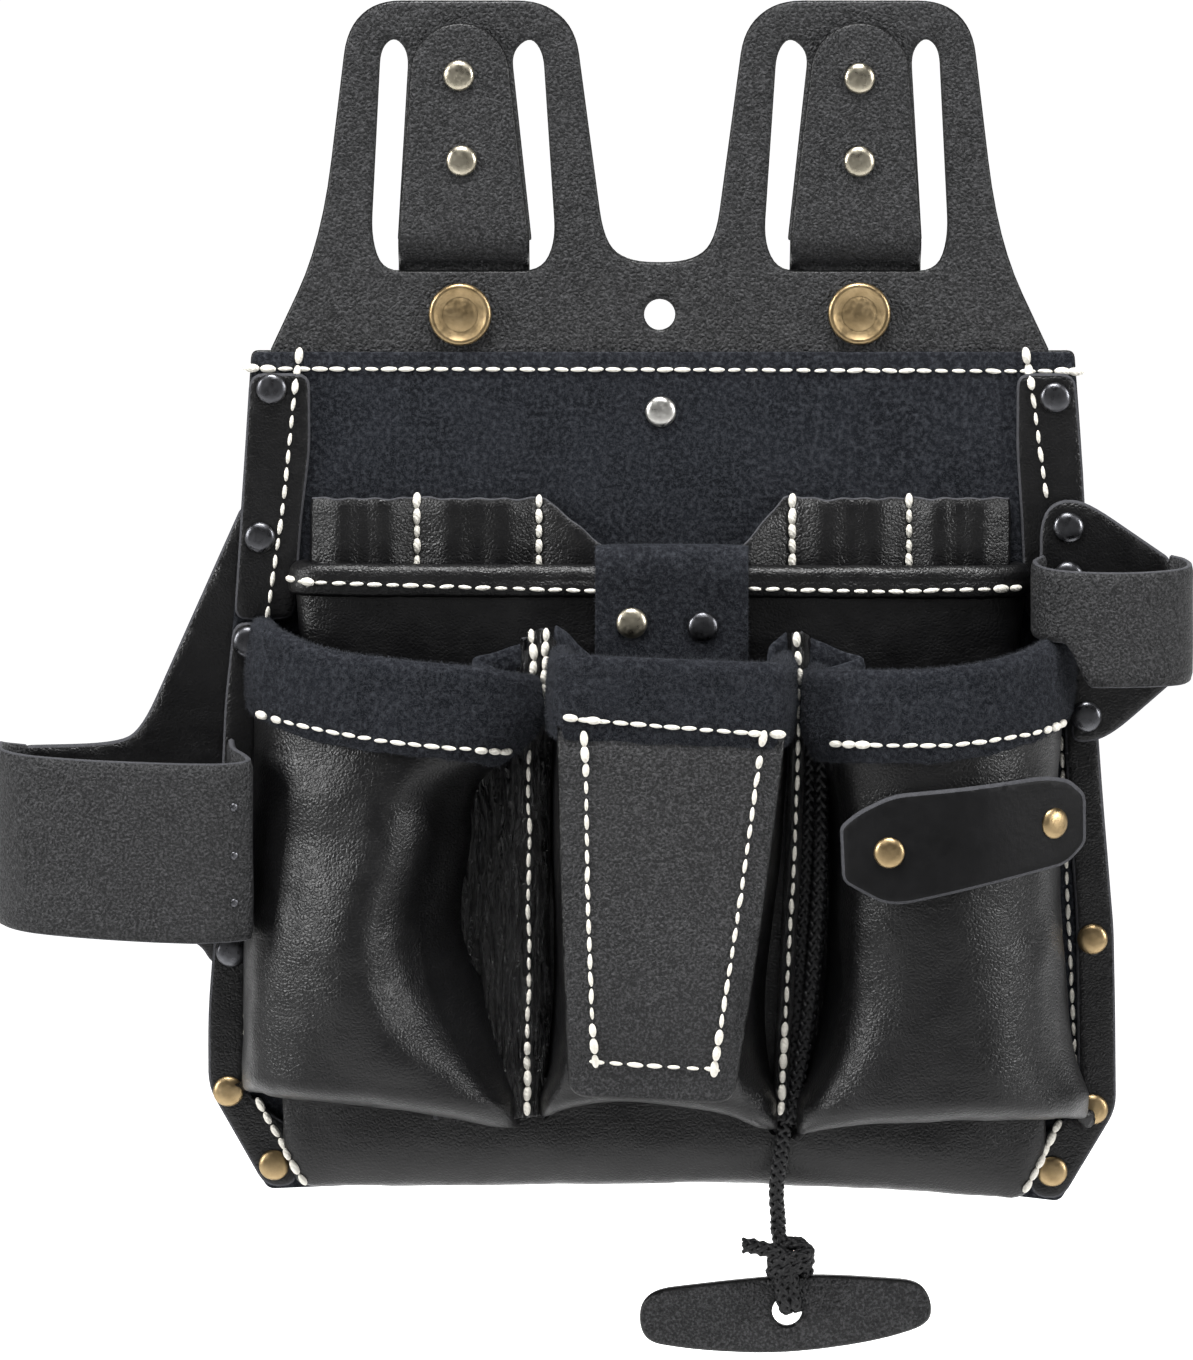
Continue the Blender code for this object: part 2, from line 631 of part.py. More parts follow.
def build_pen_strips():
    """Low strips sewn down in places over the suede, leaving upright slots for pens and drivers."""
    specs = (("pen_strip_left", [-93.0, -65.9, -32.7, -14.5], [-58.4, -58.4, -58.4, -71.5]),
             ("pen_strip_right", [25.5, 35.9, 67.5, 93.5], [-67.0, -58.4, -58.4, -58.4]))
    for name, seams, heights in specs:
        path = []
        tops = []
        for k in range(len(seams) - 1):
            a, b = seams[k], seams[k + 1]
            bulge = 5.2 if b - a > 20.0 else 1.5
            for j in range(6):
                t = j / 6
                path.append((a + (b - a) * t, -6.3 - bulge * math.sin(math.pi * t) ** 1.5))
                tops.append(heights[k] + (heights[k + 1] - heights[k]) * t)
        path.append((seams[-1], -6.3))
        tops.append(heights[-1])
        band(name, path, tops, [-96.0] * len(path), 1.8, "smooth_leather")


def build_gussets():
    """Folded side gussets seen inside the two outer pockets' mouths."""
    left = [(-42.0, -23.6), (-46.0, -26.0), (-50.0, -29.5), (-48.4, -32.8), (-47.0, -35.4)]
    band("gusset_left", left, [-93.0, -94.5, -96.4, -99.0, -102.0], [-200.0] * 5, 1.8, "pebbled_leather")
    right = [(52.0, -23.6), (55.0, -26.0), (58.0, -29.5), (56.8, -32.8), (55.8, -35.4)]
    band("gusset_right", right, [-93.5, -94.5, -96.0, -98.5, -101.0], [-200.0] * 5, 1.8, "pebbled_leather")


# ---- tool loops ----
def build_left_loop():
    wing = [(-103.3, WING_TOP - 0.2), (-113.6, WING_TOP - 0.2), (-127.5, -92.0), (-141.0, -122.2),
            (-148.0, -126.0), (-171.5, -126.6), (-171.5, -170.6), (-126.0, -180.0), (-121.8, WING_FOOT),
            (-103.3, WING_FOOT)]
    plate("left_loop_wing", wing, YOKE_PLANE, "pebbled_leather", rivet_holes(wing))
    path = [(-172.6, -4.9), (-177.0, -10.0), (-178.6, -20.0), (-177.6, -32.0), (-170.0, -42.0), (-156.0, -47.0),
            (-140.0, -48.0), (-126.0, -45.5), (-116.8, -38.0), (-114.6, -29.0), (-114.4, -18.0)]
    path = smooth(path, 2)
    n = len(path)
    tops = [-122.6 - 3.4 * min(1.0, k / (n * 0.75)) + (4.0 * max(0.0, k / n - 0.8) * 5.0) for k in range(n)]
    lows = [-169.4 - 4.6 * min(1.0, k / (n * 0.7)) for k in range(n)]
    band("left_loop_band", path, tops, lows, 2.6, "pebbled_leather")


def build_right_loop():
    ear = [(103.0, -66.0), (105.0, -60.5), (110.0, -58.2), (116.5, -59.6), (138.4, -74.6), (140.6, -107.0),
           (124.0, -121.6), (118.0, -124.6), (111.8, -124.6), (111.8, -96.0), (110.0, -94.0), (103.0, -94.0)]
    plate("right_loop_ear", ear, EAR_PLANE, "pebbled_leather", rivet_holes(ear))
    path = [(138.6, -12.2), (142.0, -17.5), (142.6, -26.0), (139.0, -34.0), (129.0, -38.6), (116.0, -39.0),
            (106.0, -35.5), (101.6, -28.0), (100.8, -19.0), (103.4, -12.4)]
    path = smooth(path, 2)
    n = len(path)
    tops = [-73.6 - 1.8 * math.sin(math.pi * k / (n - 1)) for k in range(n)]
    lows = [-94.0 - 11.8 * min(1.0, max(0.0, (p[0] - 109.0) / 6.0)) for p in path]
    band("right_loop_band", path, tops, lows, 2.4, "pebbled_leather")


# ---- toggle cord ----
CORD_R = 2.1
CORD_PIN = (40.4, -27.0, -119.0)
CORD_ROUTE = [CORD_PIN, (40.6, -25.4, -135.0), (39.6, -24.6, -160.0), (37.6, -24.4, -190.0),
              (35.6, -24.8, -215.0), (33.4, -24.6, -232.0), (31.8, -22.4, -245.0), (32.4, -19.6, -255.4)]
KNOT = (34.6, -19.0, -262.6)
LOOP_ROUTE = [(33.0, -23.3, -268.6), (33.4, -24.2, -273.0), (34.0, -24.0, -276.6), (34.6, -22.2, -278.1),
              (34.8, -19.0, -278.5), (34.8, -15.8, -278.1), (35.2, -14.0, -276.6), (35.8, -13.8, -273.0),
              (36.4, -14.7, -268.6)]


def build_cord():
    tube("toggle_cord", smooth(CORD_ROUTE, 3), CORD_R, "cord")
    tube("cord_loop", LOOP_ROUTE, CORD_R, "cord")
    profile = [(0.0, 5.7), (3.6, 5.0), (6.2, 2.4), (6.6, 0.0), (6.2, -2.4), (3.6, -5.0), (0.0, -5.7)]
    turned("cord_knot", profile, KNOT, (0.0, 0.0, 1.0), "cord", 14)
    shape = [(-5.4, -278.6), (-1.4, -273.8), (36.0, -268.4), (70.0, -270.6), (74.2, -277.0), (70.4, -284.6),
             (36.0, -291.6), (-1.0, -289.0), (-5.4, -284.4)]
    shape = rounded(shape, [4.0, 4.0, 8.0, 5.0, 5.0, 5.0, 8.0, 4.0, 4.0], 3)
    shape = [(x, min(z, -270.6)) for x, z in shape]
    plate("toggle", shape, (-20.6, -17.4), "pebbled_leather", [circle(34.8, -278.4, 3.9, 14)])


def build_rivets():
    for name, x, z, front, slot in EDGE_RIVETS:
        make_rivet(name, x, z, front, STACK_BACK, slot)
    for name, x, z in STRAP_RIVETS:
        make_rivet(name, x, z, STRAP_PLANE[0] - GAP, GAP, "pale_nickel", 4.3)
    for name, x, z in CAPS:
        front = YOKE_PLANE[0] - GAP
        length = BACK_PLANE[1] + GAP - front
        profile = [(0.0, 1.2), (7.0, 1.2), (7.3, 1.7), (8.2, 1.7), (8.5, 0.0), (2.0, 0.0), (2.0, -length),
                   (5.0, -length), (5.0, -length - 1.0), (0.0, -length - 1.0)]
        turned(name, profile, (x, front, z), (0.0, -1.0, 0.0), "antique_brass", 20)


clear_scene()
CUTTERS = bpy.data.collections.new("cutters")
bpy.context.scene.collection.children.link(CUTTERS)
build_yoke()
build_strap("belt_strap_left", -1)
build_strap("belt_strap_right", 1)
build_panels()
build_edges()
build_front()
build_tab()
build_pen_strips()
build_gussets()
build_left_loop()
build_right_loop()
build_cord()
build_rivets()
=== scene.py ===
import math

import bmesh
import bpy
import numpy as np
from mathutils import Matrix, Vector, geometry, noise
from mathutils.bvhtree import BVHTree


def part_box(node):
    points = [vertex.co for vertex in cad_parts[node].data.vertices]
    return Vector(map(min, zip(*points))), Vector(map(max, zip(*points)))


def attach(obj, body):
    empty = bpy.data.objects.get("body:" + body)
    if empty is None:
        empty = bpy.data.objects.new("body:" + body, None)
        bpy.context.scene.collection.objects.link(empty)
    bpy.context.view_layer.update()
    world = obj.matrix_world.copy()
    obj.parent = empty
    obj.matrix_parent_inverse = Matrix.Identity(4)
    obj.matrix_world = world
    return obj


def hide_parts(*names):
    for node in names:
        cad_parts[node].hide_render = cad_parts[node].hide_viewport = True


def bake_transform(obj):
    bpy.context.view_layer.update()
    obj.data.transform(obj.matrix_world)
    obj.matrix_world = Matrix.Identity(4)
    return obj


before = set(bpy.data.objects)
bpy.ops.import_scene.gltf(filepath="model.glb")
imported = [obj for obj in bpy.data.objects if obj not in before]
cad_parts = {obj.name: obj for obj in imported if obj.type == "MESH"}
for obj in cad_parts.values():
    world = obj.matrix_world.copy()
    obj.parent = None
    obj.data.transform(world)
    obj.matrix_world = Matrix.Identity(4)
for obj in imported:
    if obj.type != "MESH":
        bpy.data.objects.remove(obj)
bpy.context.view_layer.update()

MM = 0.001


# ---------------------------------------------------------------- finishes

class Finish:
    """A node material under construction, with short ways to add its nodes."""

    def __init__(self, name, rough, metal=0.0, gloss=0.5):
        self.mat = bpy.data.materials.new(name)
        self.mat.use_nodes = True
        self.nodes = self.mat.node_tree.nodes
        self.links = self.mat.node_tree.links
        self.skin = self.nodes["Principled BSDF"]
        self.skin.inputs["Roughness"].default_value = rough
        self.skin.inputs["Metallic"].default_value = metal
        self.skin.inputs["Specular IOR Level"].default_value = gloss
        self.coord = self.nodes.new("ShaderNodeTexCoord").outputs["Object"]
        self.bump_out = None

    def stretched(self, scale):
        """Object coordinates scaled along each axis, for patterns longer one way than another."""
        node = self.nodes.new("ShaderNodeMapping")
        node.inputs["Scale"].default_value = scale
        self.links.new(self.coord, node.inputs["Vector"])
        return node.outputs["Vector"]

    def noise(self, size, detail=3.0, rough=0.55, vector=None, distortion=0.0):
        """Noise whose largest features have the given size in metres."""
        node = self.nodes.new("ShaderNodeTexNoise")
        node.inputs["Scale"].default_value = 1.0 / size
        node.inputs["Detail"].default_value = detail
        node.inputs["Roughness"].default_value = rough
        node.inputs["Distortion"].default_value = distortion
        self.links.new(vector or self.coord, node.inputs["Vector"])
        return node.outputs["Fac"]

    def cells(self, size):
        node = self.nodes.new("ShaderNodeTexVoronoi")
        node.feature = "DISTANCE_TO_EDGE"
        node.inputs["Scale"].default_value = 1.0 / size
        self.links.new(self.coord, node.inputs["Vector"])
        return node.outputs["Distance"]

    def spread(self, value, low, high, out_low=0.0, out_high=1.0):
        """Maps low..high of a value onto another range."""
        node = self.nodes.new("ShaderNodeMapRange")
        node.inputs["From Min"].default_value = low
        node.inputs["From Max"].default_value = high
        node.inputs["To Min"].default_value = out_low
        node.inputs["To Max"].default_value = out_high
        self.links.new(value, node.inputs["Value"])
        return node.outputs["Result"]

    def blend(self, fac, low, high):
        node = self.nodes.new("ShaderNodeMix")
        node.data_type = "RGBA"
        self.links.new(fac, node.inputs["Factor"])
        for key, value in (("A", low), ("B", high)):
            socket = next(s for s in node.inputs if s.name == key and s.type == "RGBA")
            if isinstance(value, tuple):
                socket.default_value = (*value, 1.0)
            else:
                self.links.new(value, socket)
        return next(s for s in node.outputs if s.type == "RGBA")

    def colour(self, value):
        self.links.new(value, self.skin.inputs["Base Color"])

    def rough(self, value):
        self.links.new(value, self.skin.inputs["Roughness"])

    def bump(self, height, depth, strength=1.0):
        """Adds a relief of the given depth in metres on top of any earlier one."""
        node = self.nodes.new("ShaderNodeBump")
        node.inputs["Strength"].default_value = strength
        node.inputs["Distance"].default_value = depth
        self.links.new(height, node.inputs["Height"])
        if self.bump_out:
            self.links.new(self.bump_out, node.inputs["Normal"])
        self.bump_out = node.outputs["Normal"]
        self.links.new(self.bump_out, self.skin.inputs["Normal"])


def pebbled_leather():
    """Thick dull leather with a pebbled grain and pale specks."""
    f = Finish("pebbled_leather", 0.6, gloss=0.16)
    wide = f.noise(0.030, 3.0)
    fine = f.noise(0.00072, 2.0, 0.6)
    speck = f.spread(fine, 0.44, 0.72)
    base = f.blend(f.spread(wide, 0.35, 0.65), (0.0082, 0.0084, 0.0088), (0.0116, 0.0118, 0.0123))
    f.colour(f.blend(speck, base, (0.047, 0.047, 0.049)))
    f.rough(f.spread(fine, 0.3, 0.7, 0.44, 0.66))
    f.bump(f.noise(0.012, 2.0), 0.0006, 0.5)
    f.bump(f.spread(f.cells(0.0013), 0.0, 0.35), 0.00030, 0.8)
    f.bump(fine, 0.00030, 0.9)
    return f.mat


def smooth_leather():
    """Soft shiny leather of the pockets, with shallow creases."""
    f = Finish("smooth_leather", 0.30, gloss=0.27)
    wide = f.noise(0.022, 4.0)
    f.colour(f.blend(f.spread(wide, 0.3, 0.7), (0.0020, 0.0020, 0.0022), (0.0040, 0.0039, 0.0042)))
    f.rough(f.spread(f.noise(0.006, 3.0), 0.3, 0.7, 0.30, 0.42))
    crease = f.noise(0.0042, 5.0, 0.65, f.stretched((1.0, 1.0, 2.6)), 1.4)
    f.bump(f.noise(0.016, 3.0), 0.0012, 0.5)
    f.bump(crease, 0.0006, 0.22)
    f.bump(f.spread(f.cells(0.0011), 0.0, 0.3), 0.00011, 0.6)
    return f.mat


def creased_leather():
    """Thin gusset leather, gathered into long upright creases."""
    f = Finish("creased_leather", 0.30, gloss=0.5)
    f.colour(f.blend(f.noise(0.008, 3.0), (0.0028, 0.0028, 0.0031), (0.0062, 0.0060, 0.0066)))
    long_crease = f.noise(0.0030, 4.0, 0.6, f.stretched((1.7, 1.7, 0.26)), 1.2)
    f.bump(f.spread(long_crease, 0.3, 0.7), 0.0024, 1.0)
    f.bump(f.noise(0.0012, 3.0), 0.00030, 0.8)
    return f.mat


def suede():
    f = Finish("suede", 0.95, gloss=0.06)
    nap = f.noise(0.0013, 5.0, 0.72)
    cloud = f.noise(0.014, 3.0)
    base = f.blend(f.spread(cloud, 0.3, 0.7), (0.0050, 0.0055, 0.0071), (0.0100, 0.0110, 0.0138))
    f.colour(f.blend(f.spread(nap, 0.45, 0.75), base, (0.0420, 0.0450, 0.0520)))
    f.skin.inputs["Sheen Weight"].default_value = 0.03
    f.skin.inputs["Sheen Roughness"].default_value = 0.55
    f.skin.inputs["Sheen Tint"].default_value = (0.75, 0.80, 0.95, 1.0)
    f.bump(f.noise(0.006, 3.0), 0.0009, 0.6)
    f.bump(nap, 0.0006, 0.9)
    return f.mat


def suede_nap():
    f = Finish("suede_nap", 0.9, gloss=0.06)
    f.colour(f.blend(f.noise(0.0015, 2.0), (0.0050, 0.0055, 0.0070), (0.0560, 0.0595, 0.0680)))
    return f.mat


def cut_edge():
    f = Finish("cut_edge", 0.8, gloss=0.2)
    f.colour(f.blend(f.noise(0.0012, 4.0, 0.7), (0.012, 0.012, 0.014), (0.066, 0.067, 0.074)))
    f.bump(f.noise(0.0007, 3.0), 0.0003, 0.8)
    return f.mat


def label_leather():
    f = Finish("label_leather", 0.42, gloss=0.08)
    wide = f.noise(0.012, 3.0)
    f.colour(f.blend(f.spread(wide, 0.3, 0.7), (0.0036, 0.0036, 0.0038), (0.0062, 0.0062, 0.0066)))
    f.rough(f.spread(f.noise(0.003, 3.0), 0.3, 0.7, 0.40, 0.54))
    f.bump(f.noise(0.0022, 4.0, 0.6), 0.00030, 0.5)
    return f.mat


def thread():
    f = Finish("cream_thread", 0.75, gloss=0.2)
    f.colour(f.blend(f.noise(0.0008, 3.0), (0.44, 0.42, 0.37), (0.74, 0.72, 0.66)))
    ply = f.nodes.new("ShaderNodeTexWave")
    ply.bands_direction = "DIAGONAL"
    ply.inputs["Scale"].default_value = 420.0
    ply.inputs["Distortion"].default_value = 1.5
    f.links.new(f.coord, ply.inputs["Vector"])
    f.bump(ply.outputs["Fac"], 0.00016, 0.6)
    return f.mat


def metal(name, dark, light, rough):
    f = Finish(name, rough, 1.0)
    tarnish = f.noise(0.0042, 4.0, 0.6)
    f.colour(f.blend(f.spread(tarnish, 0.30, 0.70), dark, light))
    f.rough(f.spread(f.noise(0.0016, 3.0), 0.3, 0.7, rough - 0.07, rough + 0.12))
    f.bump(f.noise(0.0007, 3.0), 0.00004, 0.5)
    return f.mat


def cord_yarn():
    f = Finish("cord_yarn", 0.50, gloss=0.22)
    f.colour(f.blend(f.noise(0.0006, 3.0), (0.0018, 0.0018, 0.0020), (0.0085, 0.0085, 0.0095)))
    f.bump(f.noise(0.0004, 2.0), 0.0001, 0.8)
    return f.mat


PEBBLED = pebbled_leather()
SMOOTH = smooth_leather()
CREASED = creased_leather()
SUEDE = suede()
NAP = suede_nap()
EDGE = cut_edge()
LABEL = label_leather()
THREAD = thread()
CORD = cord_yarn()
METALS = {
    "gunmetal": metal("gunmetal", (0.060, 0.061, 0.066), (0.105, 0.106, 0.114), 0.30),
    "antique_brass": metal("antique_brass", (0.235, 0.168, 0.086), (0.345, 0.255, 0.140), 0.36),
    "pale_nickel": metal("pale_nickel", (0.34, 0.31, 0.24), (0.48, 0.44, 0.35), 0.30),
    "silver": metal("silver", (0.44, 0.43, 0.41), (0.58, 0.57, 0.54), 0.32),
}


# ---------------------------------------------------------------- mesh helpers

def put(name, data):
    """Object with the given data, placed in the scene."""
    ob = bpy.data.objects.new(name, data)
    bpy.context.scene.collection.objects.link(ob)
    return ob


def turn_outwards(mesh):
    """Makes the faces of a closed mesh point out."""
    bm = bmesh.new()
    bm.from_mesh(mesh)
    bmesh.ops.recalc_face_normals(bm, faces=bm.faces)
    if bm.calc_volume(signed=True) < 0.0:
        bmesh.ops.reverse_faces(bm, faces=bm.faces)
    bm.to_mesh(mesh)
    bm.free()


def piece(name, verts, faces, mats, face_mats=None):
    """Smooth mesh object in place, from points in millimetres, with its faces turned outwards."""
    mesh = bpy.data.meshes.new(name)
    mesh.from_pydata([(x * MM, y * MM, z * MM) for x, y, z in verts], [], [tuple(f) for f in faces])
    for m in mats:
        mesh.materials.append(m)
    if face_mats is not None:
        mesh.polygons.foreach_set("material_index", face_mats)
    turn_outwards(mesh)
    mesh.shade_smooth()
    return put(name, mesh)


def runs(line):
    """Distance along a line from its start to each of its points."""
    return np.concatenate([[0.0], np.cumsum(np.linalg.norm(np.diff(line, axis=0), axis=1))])


def directions(line):
    """Unit direction of a line at each of its points."""
    d = np.gradient(line, axis=0)
    return d / np.linalg.norm(d, axis=1)[:, None]


def spline(points, count):
    """Evenly spaced points on a Catmull-Rom curve through the given ones."""
    p = np.asarray(points, float)
    ext = np.vstack([2 * p[0] - p[1], p, 2 * p[-1] - p[-2]])
    out = []
    for i in range(len(p) - 1):
        a, b, c, d = ext[i:i + 4]
        t = np.linspace(0, 1, 16, endpoint=False)[:, None]
        out.append(0.5 * (2 * b + (c - a) * t + (2 * a - 5 * b + 4 * c - d) * t * t
                          + (3 * b - a - 3 * c + d) * t ** 3))
    out = np.vstack(out + [p[-1:]])
    run = runs(out)
    want = np.linspace(0, run[-1], count)
    return np.stack([np.interp(want, run, out[:, k]) for k in range(p.shape[1])], axis=1)


def run_length(points):
    """Whole length of a line."""
    p = np.asarray(points, float)
    return float(np.linalg.norm(np.diff(p, axis=0), axis=1).sum())


def evenly(points, gap, closed=False):
    """Straight-sided line resampled at about the given spacing, keeping its corners."""
    p = [np.asarray(q, float) for q in points]
    if closed:
        p = p + [p[0]]
    out = []
    for a, b in zip(p, p[1:]):
        n = max(1, int(round(np.linalg.norm(b - a) / gap)))
        out += [a + (b - a) * k / n for k in range(n)]
    if not closed:
        out.append(p[-1])
    return np.array(out)


def rounded(points, radii, steps=6):
    """Closed outline with its corners rounded, by one radius or by one for each point."""
    out = []
    n = len(points)
    for i in range(n):
        r = radii[i] if isinstance(radii, (list, tuple)) else radii
        p = Vector(points[i])
        if r <= 0.0:
            out.append((p.x, p.y))
            continue
        a = Vector(points[i - 1]) - p
        b = Vector(points[(i + 1) % n]) - p
        pa = p + a.normalized() * min(r, a.length * 0.48)
        pb = p + b.normalized() * min(r, b.length * 0.48)
        for k in range(steps + 1):
            t = k / steps
            q = pa * (1 - t) ** 2 + p * 2 * t * (1 - t) + pb * t ** 2
            out.append((q.x, q.y))
    return out


def ring(x, z, r, steps=20):
    """Round outline of a hole."""
    return [(x + r * math.cos(2 * math.pi * k / steps), z + r * math.sin(2 * math.pi * k / steps))
            for k in range(steps)]


def inset(loop, amount):
    """Closed loop moved inwards by the amount; a negative amount moves it outwards."""
    p = np.asarray(loop, float)
    before = p - np.roll(p, 1, axis=0)
    after = np.roll(p, -1, axis=0) - p
    before /= np.linalg.norm(before, axis=1)[:, None] + 1e-9
    after /= np.linalg.norm(after, axis=1)[:, None] + 1e-9
    t = before + after
    t /= np.linalg.norm(t, axis=1)[:, None] + 1e-9
    area = 0.5 * np.sum(p[:, 0] * np.roll(p[:, 1], -1) - np.roll(p[:, 0], -1) * p[:, 1])
    n = np.stack([-t[:, 1], t[:, 0]], axis=1) * (1.0 if area > 0 else -1.0)
    return p + n * amount


def in_loop(loop, x, z):
    """Which of the points (x, z) lie inside a closed loop."""
    p = np.asarray(loop)
    q = np.roll(p, -1, axis=0)
    hit = np.zeros(np.shape(x), bool)
    for (x0, z0), (x1, z1) in zip(p, q):
        if z0 == z1:
            continue
        hit ^= ((z0 > z) != (z1 > z)) & (x < x0 + (x1 - x0) * (z - z0) / (z1 - z0))
    return hit


def blank(name, outline, place, thick, mats, holes, gap, soft, edge_mat=0):
    """Leather blank cut to an outline in the XZ plane; place(x, z, depth) puts each point in space.

    Depth 0 is the front face and depth `thick` the back.  Edges and holes are rounded by `soft`, and
    `gap` is the spacing of the mesh."""
    loops = [evenly(outline, gap, True)] + [evenly(h, gap * 0.6, True) for h in holes]
    faces_loops = [inset(loops[0], soft)] + [inset(h, -soft * 0.8) for h in loops[1:]]
    pts = []
    edges = []
    for lp in faces_loops:
        base = len(pts)
        pts += [tuple(q) for q in lp]
        edges += [(base + k, base + (k + 1) % len(lp)) for k in range(len(lp))]
    lo = faces_loops[0].min(axis=0)
    hi = faces_loops[0].max(axis=0)
    xs = np.arange(lo[0], hi[0], gap)
    zs = np.arange(lo[1], hi[1], gap * 0.866)
    gx, gz = np.meshgrid(xs, zs)
    gx = gx + (np.arange(len(zs)) % 2)[:, None] * gap * 0.5
    gx = gx.ravel()
    gz = gz.ravel()
    keep = in_loop(inset(loops[0], soft + gap * 0.5), gx, gz)
    for h in loops[1:]:
        keep &= ~in_loop(inset(h, -soft - gap * 0.5), gx, gz)
    pts += list(zip(gx[keep], gz[keep]))
    got = geometry.delaunay_2d_cdt([Vector(q) for q in pts], edges, [], 0, 1e-5)
    cv = np.array([(v.x, v.y) for v in got[0]])
    tri = np.array([f for f in got[2] if len(f) == 3])
    mid = cv[tri].mean(axis=1)
    ok = in_loop(faces_loops[0], mid[:, 0], mid[:, 1])
    for h in faces_loops[1:]:
        ok &= ~in_loop(h, mid[:, 0], mid[:, 1])
    tri = tri[ok]
    n = len(cv)
    verts = [place(x, z, 0.0) for x, z in cv] + [place(x, z, thick) for x, z in cv]
    faces = [tuple(t) for t in tri] + [tuple(t[::-1] + n) for t in tri]
    marks = [0] * len(faces)
    where = {}
    for k, src in enumerate(got[3]):
        for s in src:
            where[s] = k
    start = 0
    for lp in loops:
        m = len(lp)
        ids = [where[start + k] for k in range(m)]
        start += m
        a = len(verts)
        verts += [place(x, z, thick * 0.22) for x, z in lp]
        b = len(verts)
        verts += [place(x, z, thick * 0.78) for x, z in lp]
        for k in range(m):
            j = (k + 1) % m
            faces.append((ids[k], ids[j], a + j, a + k))
            faces.append((a + k, a + j, b + j, b + k))
            faces.append((b + k, b + j, ids[j] + n, ids[k] + n))
            marks += [edge_mat] * 3
    return piece(name, verts, faces, mats, marks)


def flat(front, wobble, seed):
    """Placement on a flat plane, with the slight waviness of real leather."""
    def place(x, z, d):
        w = 0.0
        if wobble:
            w = wobble * noise.noise(Vector((x * 0.02 + seed, z * 0.02, seed * 3.1)))
            w += wobble * 0.35 * noise.noise(Vector((x * 0.07 + seed, z * 0.07, seed)))
        return (x, front + d + w, z)
    return place


def layer(name, outline, plane, wobble, seed, mats, holes, gap, soft, edge_mat=0):
    """Blank in one flat layer, given as its front face and thickness."""
    front, thick = plane
    return blank(name, outline, flat(front, wobble, seed), thick, mats, holes, gap, soft, edge_mat)


def grid_faces(rows, cols, base=0, wrap=False):
    """Four-sided faces over a grid of points, numbered row by row from the base."""
    out = []
    for r in range(rows - 1):
        here = base + r * cols
        for c in range(cols - (0 if wrap else 1)):
            d = (c + 1) % cols
            out.append((here + c, here + d, here + cols + d, here + cols + c))
    return out


def grid_normals(g):
    """Unit normals of a rows x cols x 3 grid."""
    du = np.gradient(g, axis=1)
    dv = np.gradient(g, axis=0)
    n = np.cross(du, dv)
    return n / (np.linalg.norm(n, axis=2)[:, :, None] + 1e-9)


def shell(name, g, thick, mats, inward, rim_mat=0):
    """Closed shell of even thickness under a grid of outer points, on the side of the point `inward`."""
    n = grid_normals(g)
    if np.sum((np.array(inward) - g) * n) < 0:
        n = -n
    inner = g + n * thick
    rows, cols = g.shape[:2]
    verts = [tuple(p) for p in g.reshape(-1, 3)] + [tuple(p) for p in inner.reshape(-1, 3)]
    off = rows * cols
    faces = grid_faces(rows, cols)
    faces += [tuple(reversed(f)) for f in grid_faces(rows, cols, off)]
    marks = [0] * len(faces)

    def rim(ids):
        for a, b in zip(ids, ids[1:]):
            faces.append((a, b, b + off, a + off))
            marks.append(rim_mat)

    rim(range(cols))
    rim(range((rows - 1) * cols, rows * cols))
    rim(range(0, rows * cols, cols))
    rim(range(cols - 1, rows * cols, cols))
    return piece(name, verts, faces, mats, marks)


def loft(name, sections, mats):
    """Closed bar through sections, each a loop of the same number of points."""
    g = np.asarray(sections, float)
    rows, cols = g.shape[:2]
    verts = [tuple(p) for p in g.reshape(-1, 3)]
    faces = grid_faces(rows, cols, 0, True)
    faces.append(tuple(range(cols)))
    faces.append(tuple(reversed(range((rows - 1) * cols, rows * cols))))
    return piece(name, verts, faces, mats)


def band(name, path, top, low, thick, mats, gap=1.2, seed=0.0, edge_mat=0):
    """Upright band along a plan path; top and low give its edge heights as a function of the run 0..1."""
    count = max(8, int(run_length(path) / gap))
    p = spline(path, count)
    t = directions(p)
    n = np.stack([t[:, 1], -t[:, 0]], axis=1)
    rows = max(6, int(abs(top(0.5) - low(0.5)) / 2.0))
    h = thick / 2
    soft = min(0.5, h * 0.6)

    def wave(k, z):
        return 0.35 * noise.noise(Vector((p[k, 0] * 0.04 + seed, p[k, 1] * 0.04, z * 0.05)))

    sections = []
    for k in range(count):
        f = k / (count - 1)
        z1 = top(f)
        z0 = low(f)
        loop = []
        for side in (1, -1):
            for r in range(rows + 1) if side == 1 else range(rows, -1, -1):
                z = z1 + (z0 - z1) * (r / rows)
                w = wave(k, z)
                hh = h - (soft if r in (0, rows) else 0.0)
                loop.append((p[k, 0] + n[k, 0] * (hh * side + w), p[k, 1] + n[k, 1] * (hh * side + w), z))
            z_edge, sign = (z0, -1) if side == 1 else (z1, 1)
            w = wave(k, z_edge)
            loop.append((p[k, 0] + n[k, 0] * w, p[k, 1] + n[k, 1] * w, z_edge + sign * 0.4))
        sections.append(loop)
    ob = loft(name, sections, mats)
    if edge_mat:
        m = len(sections[0])
        rims = {0, rows, rows + 1, rows + 2, m - 2, m - 1}
        ids = []
        for f in ob.data.polygons:
            cut = f.loop_total > 4 or all(v % m in rims for v in f.vertices)
            ids.append(edge_mat if cut else 0)
        ob.data.polygons.foreach_set("material_index", ids)
    return ob


def tree_of(ob):
    """Search tree over an object's own mesh, in metres."""
    return BVHTree.FromPolygons([v.co for v in ob.data.vertices], [p.vertices for p in ob.data.polygons])


def first_hit(trees, x, z):
    """Place and normal of the first surface met from the front at (x, z) in millimetres, or None."""
    best = None
    for t in trees:
        hit = t.ray_cast(Vector((x * MM, -0.3, z * MM)), Vector((0, 1, 0)))
        if hit[0] is not None and (best is None or hit[0].y < best[0].y):
            best = hit
    return best


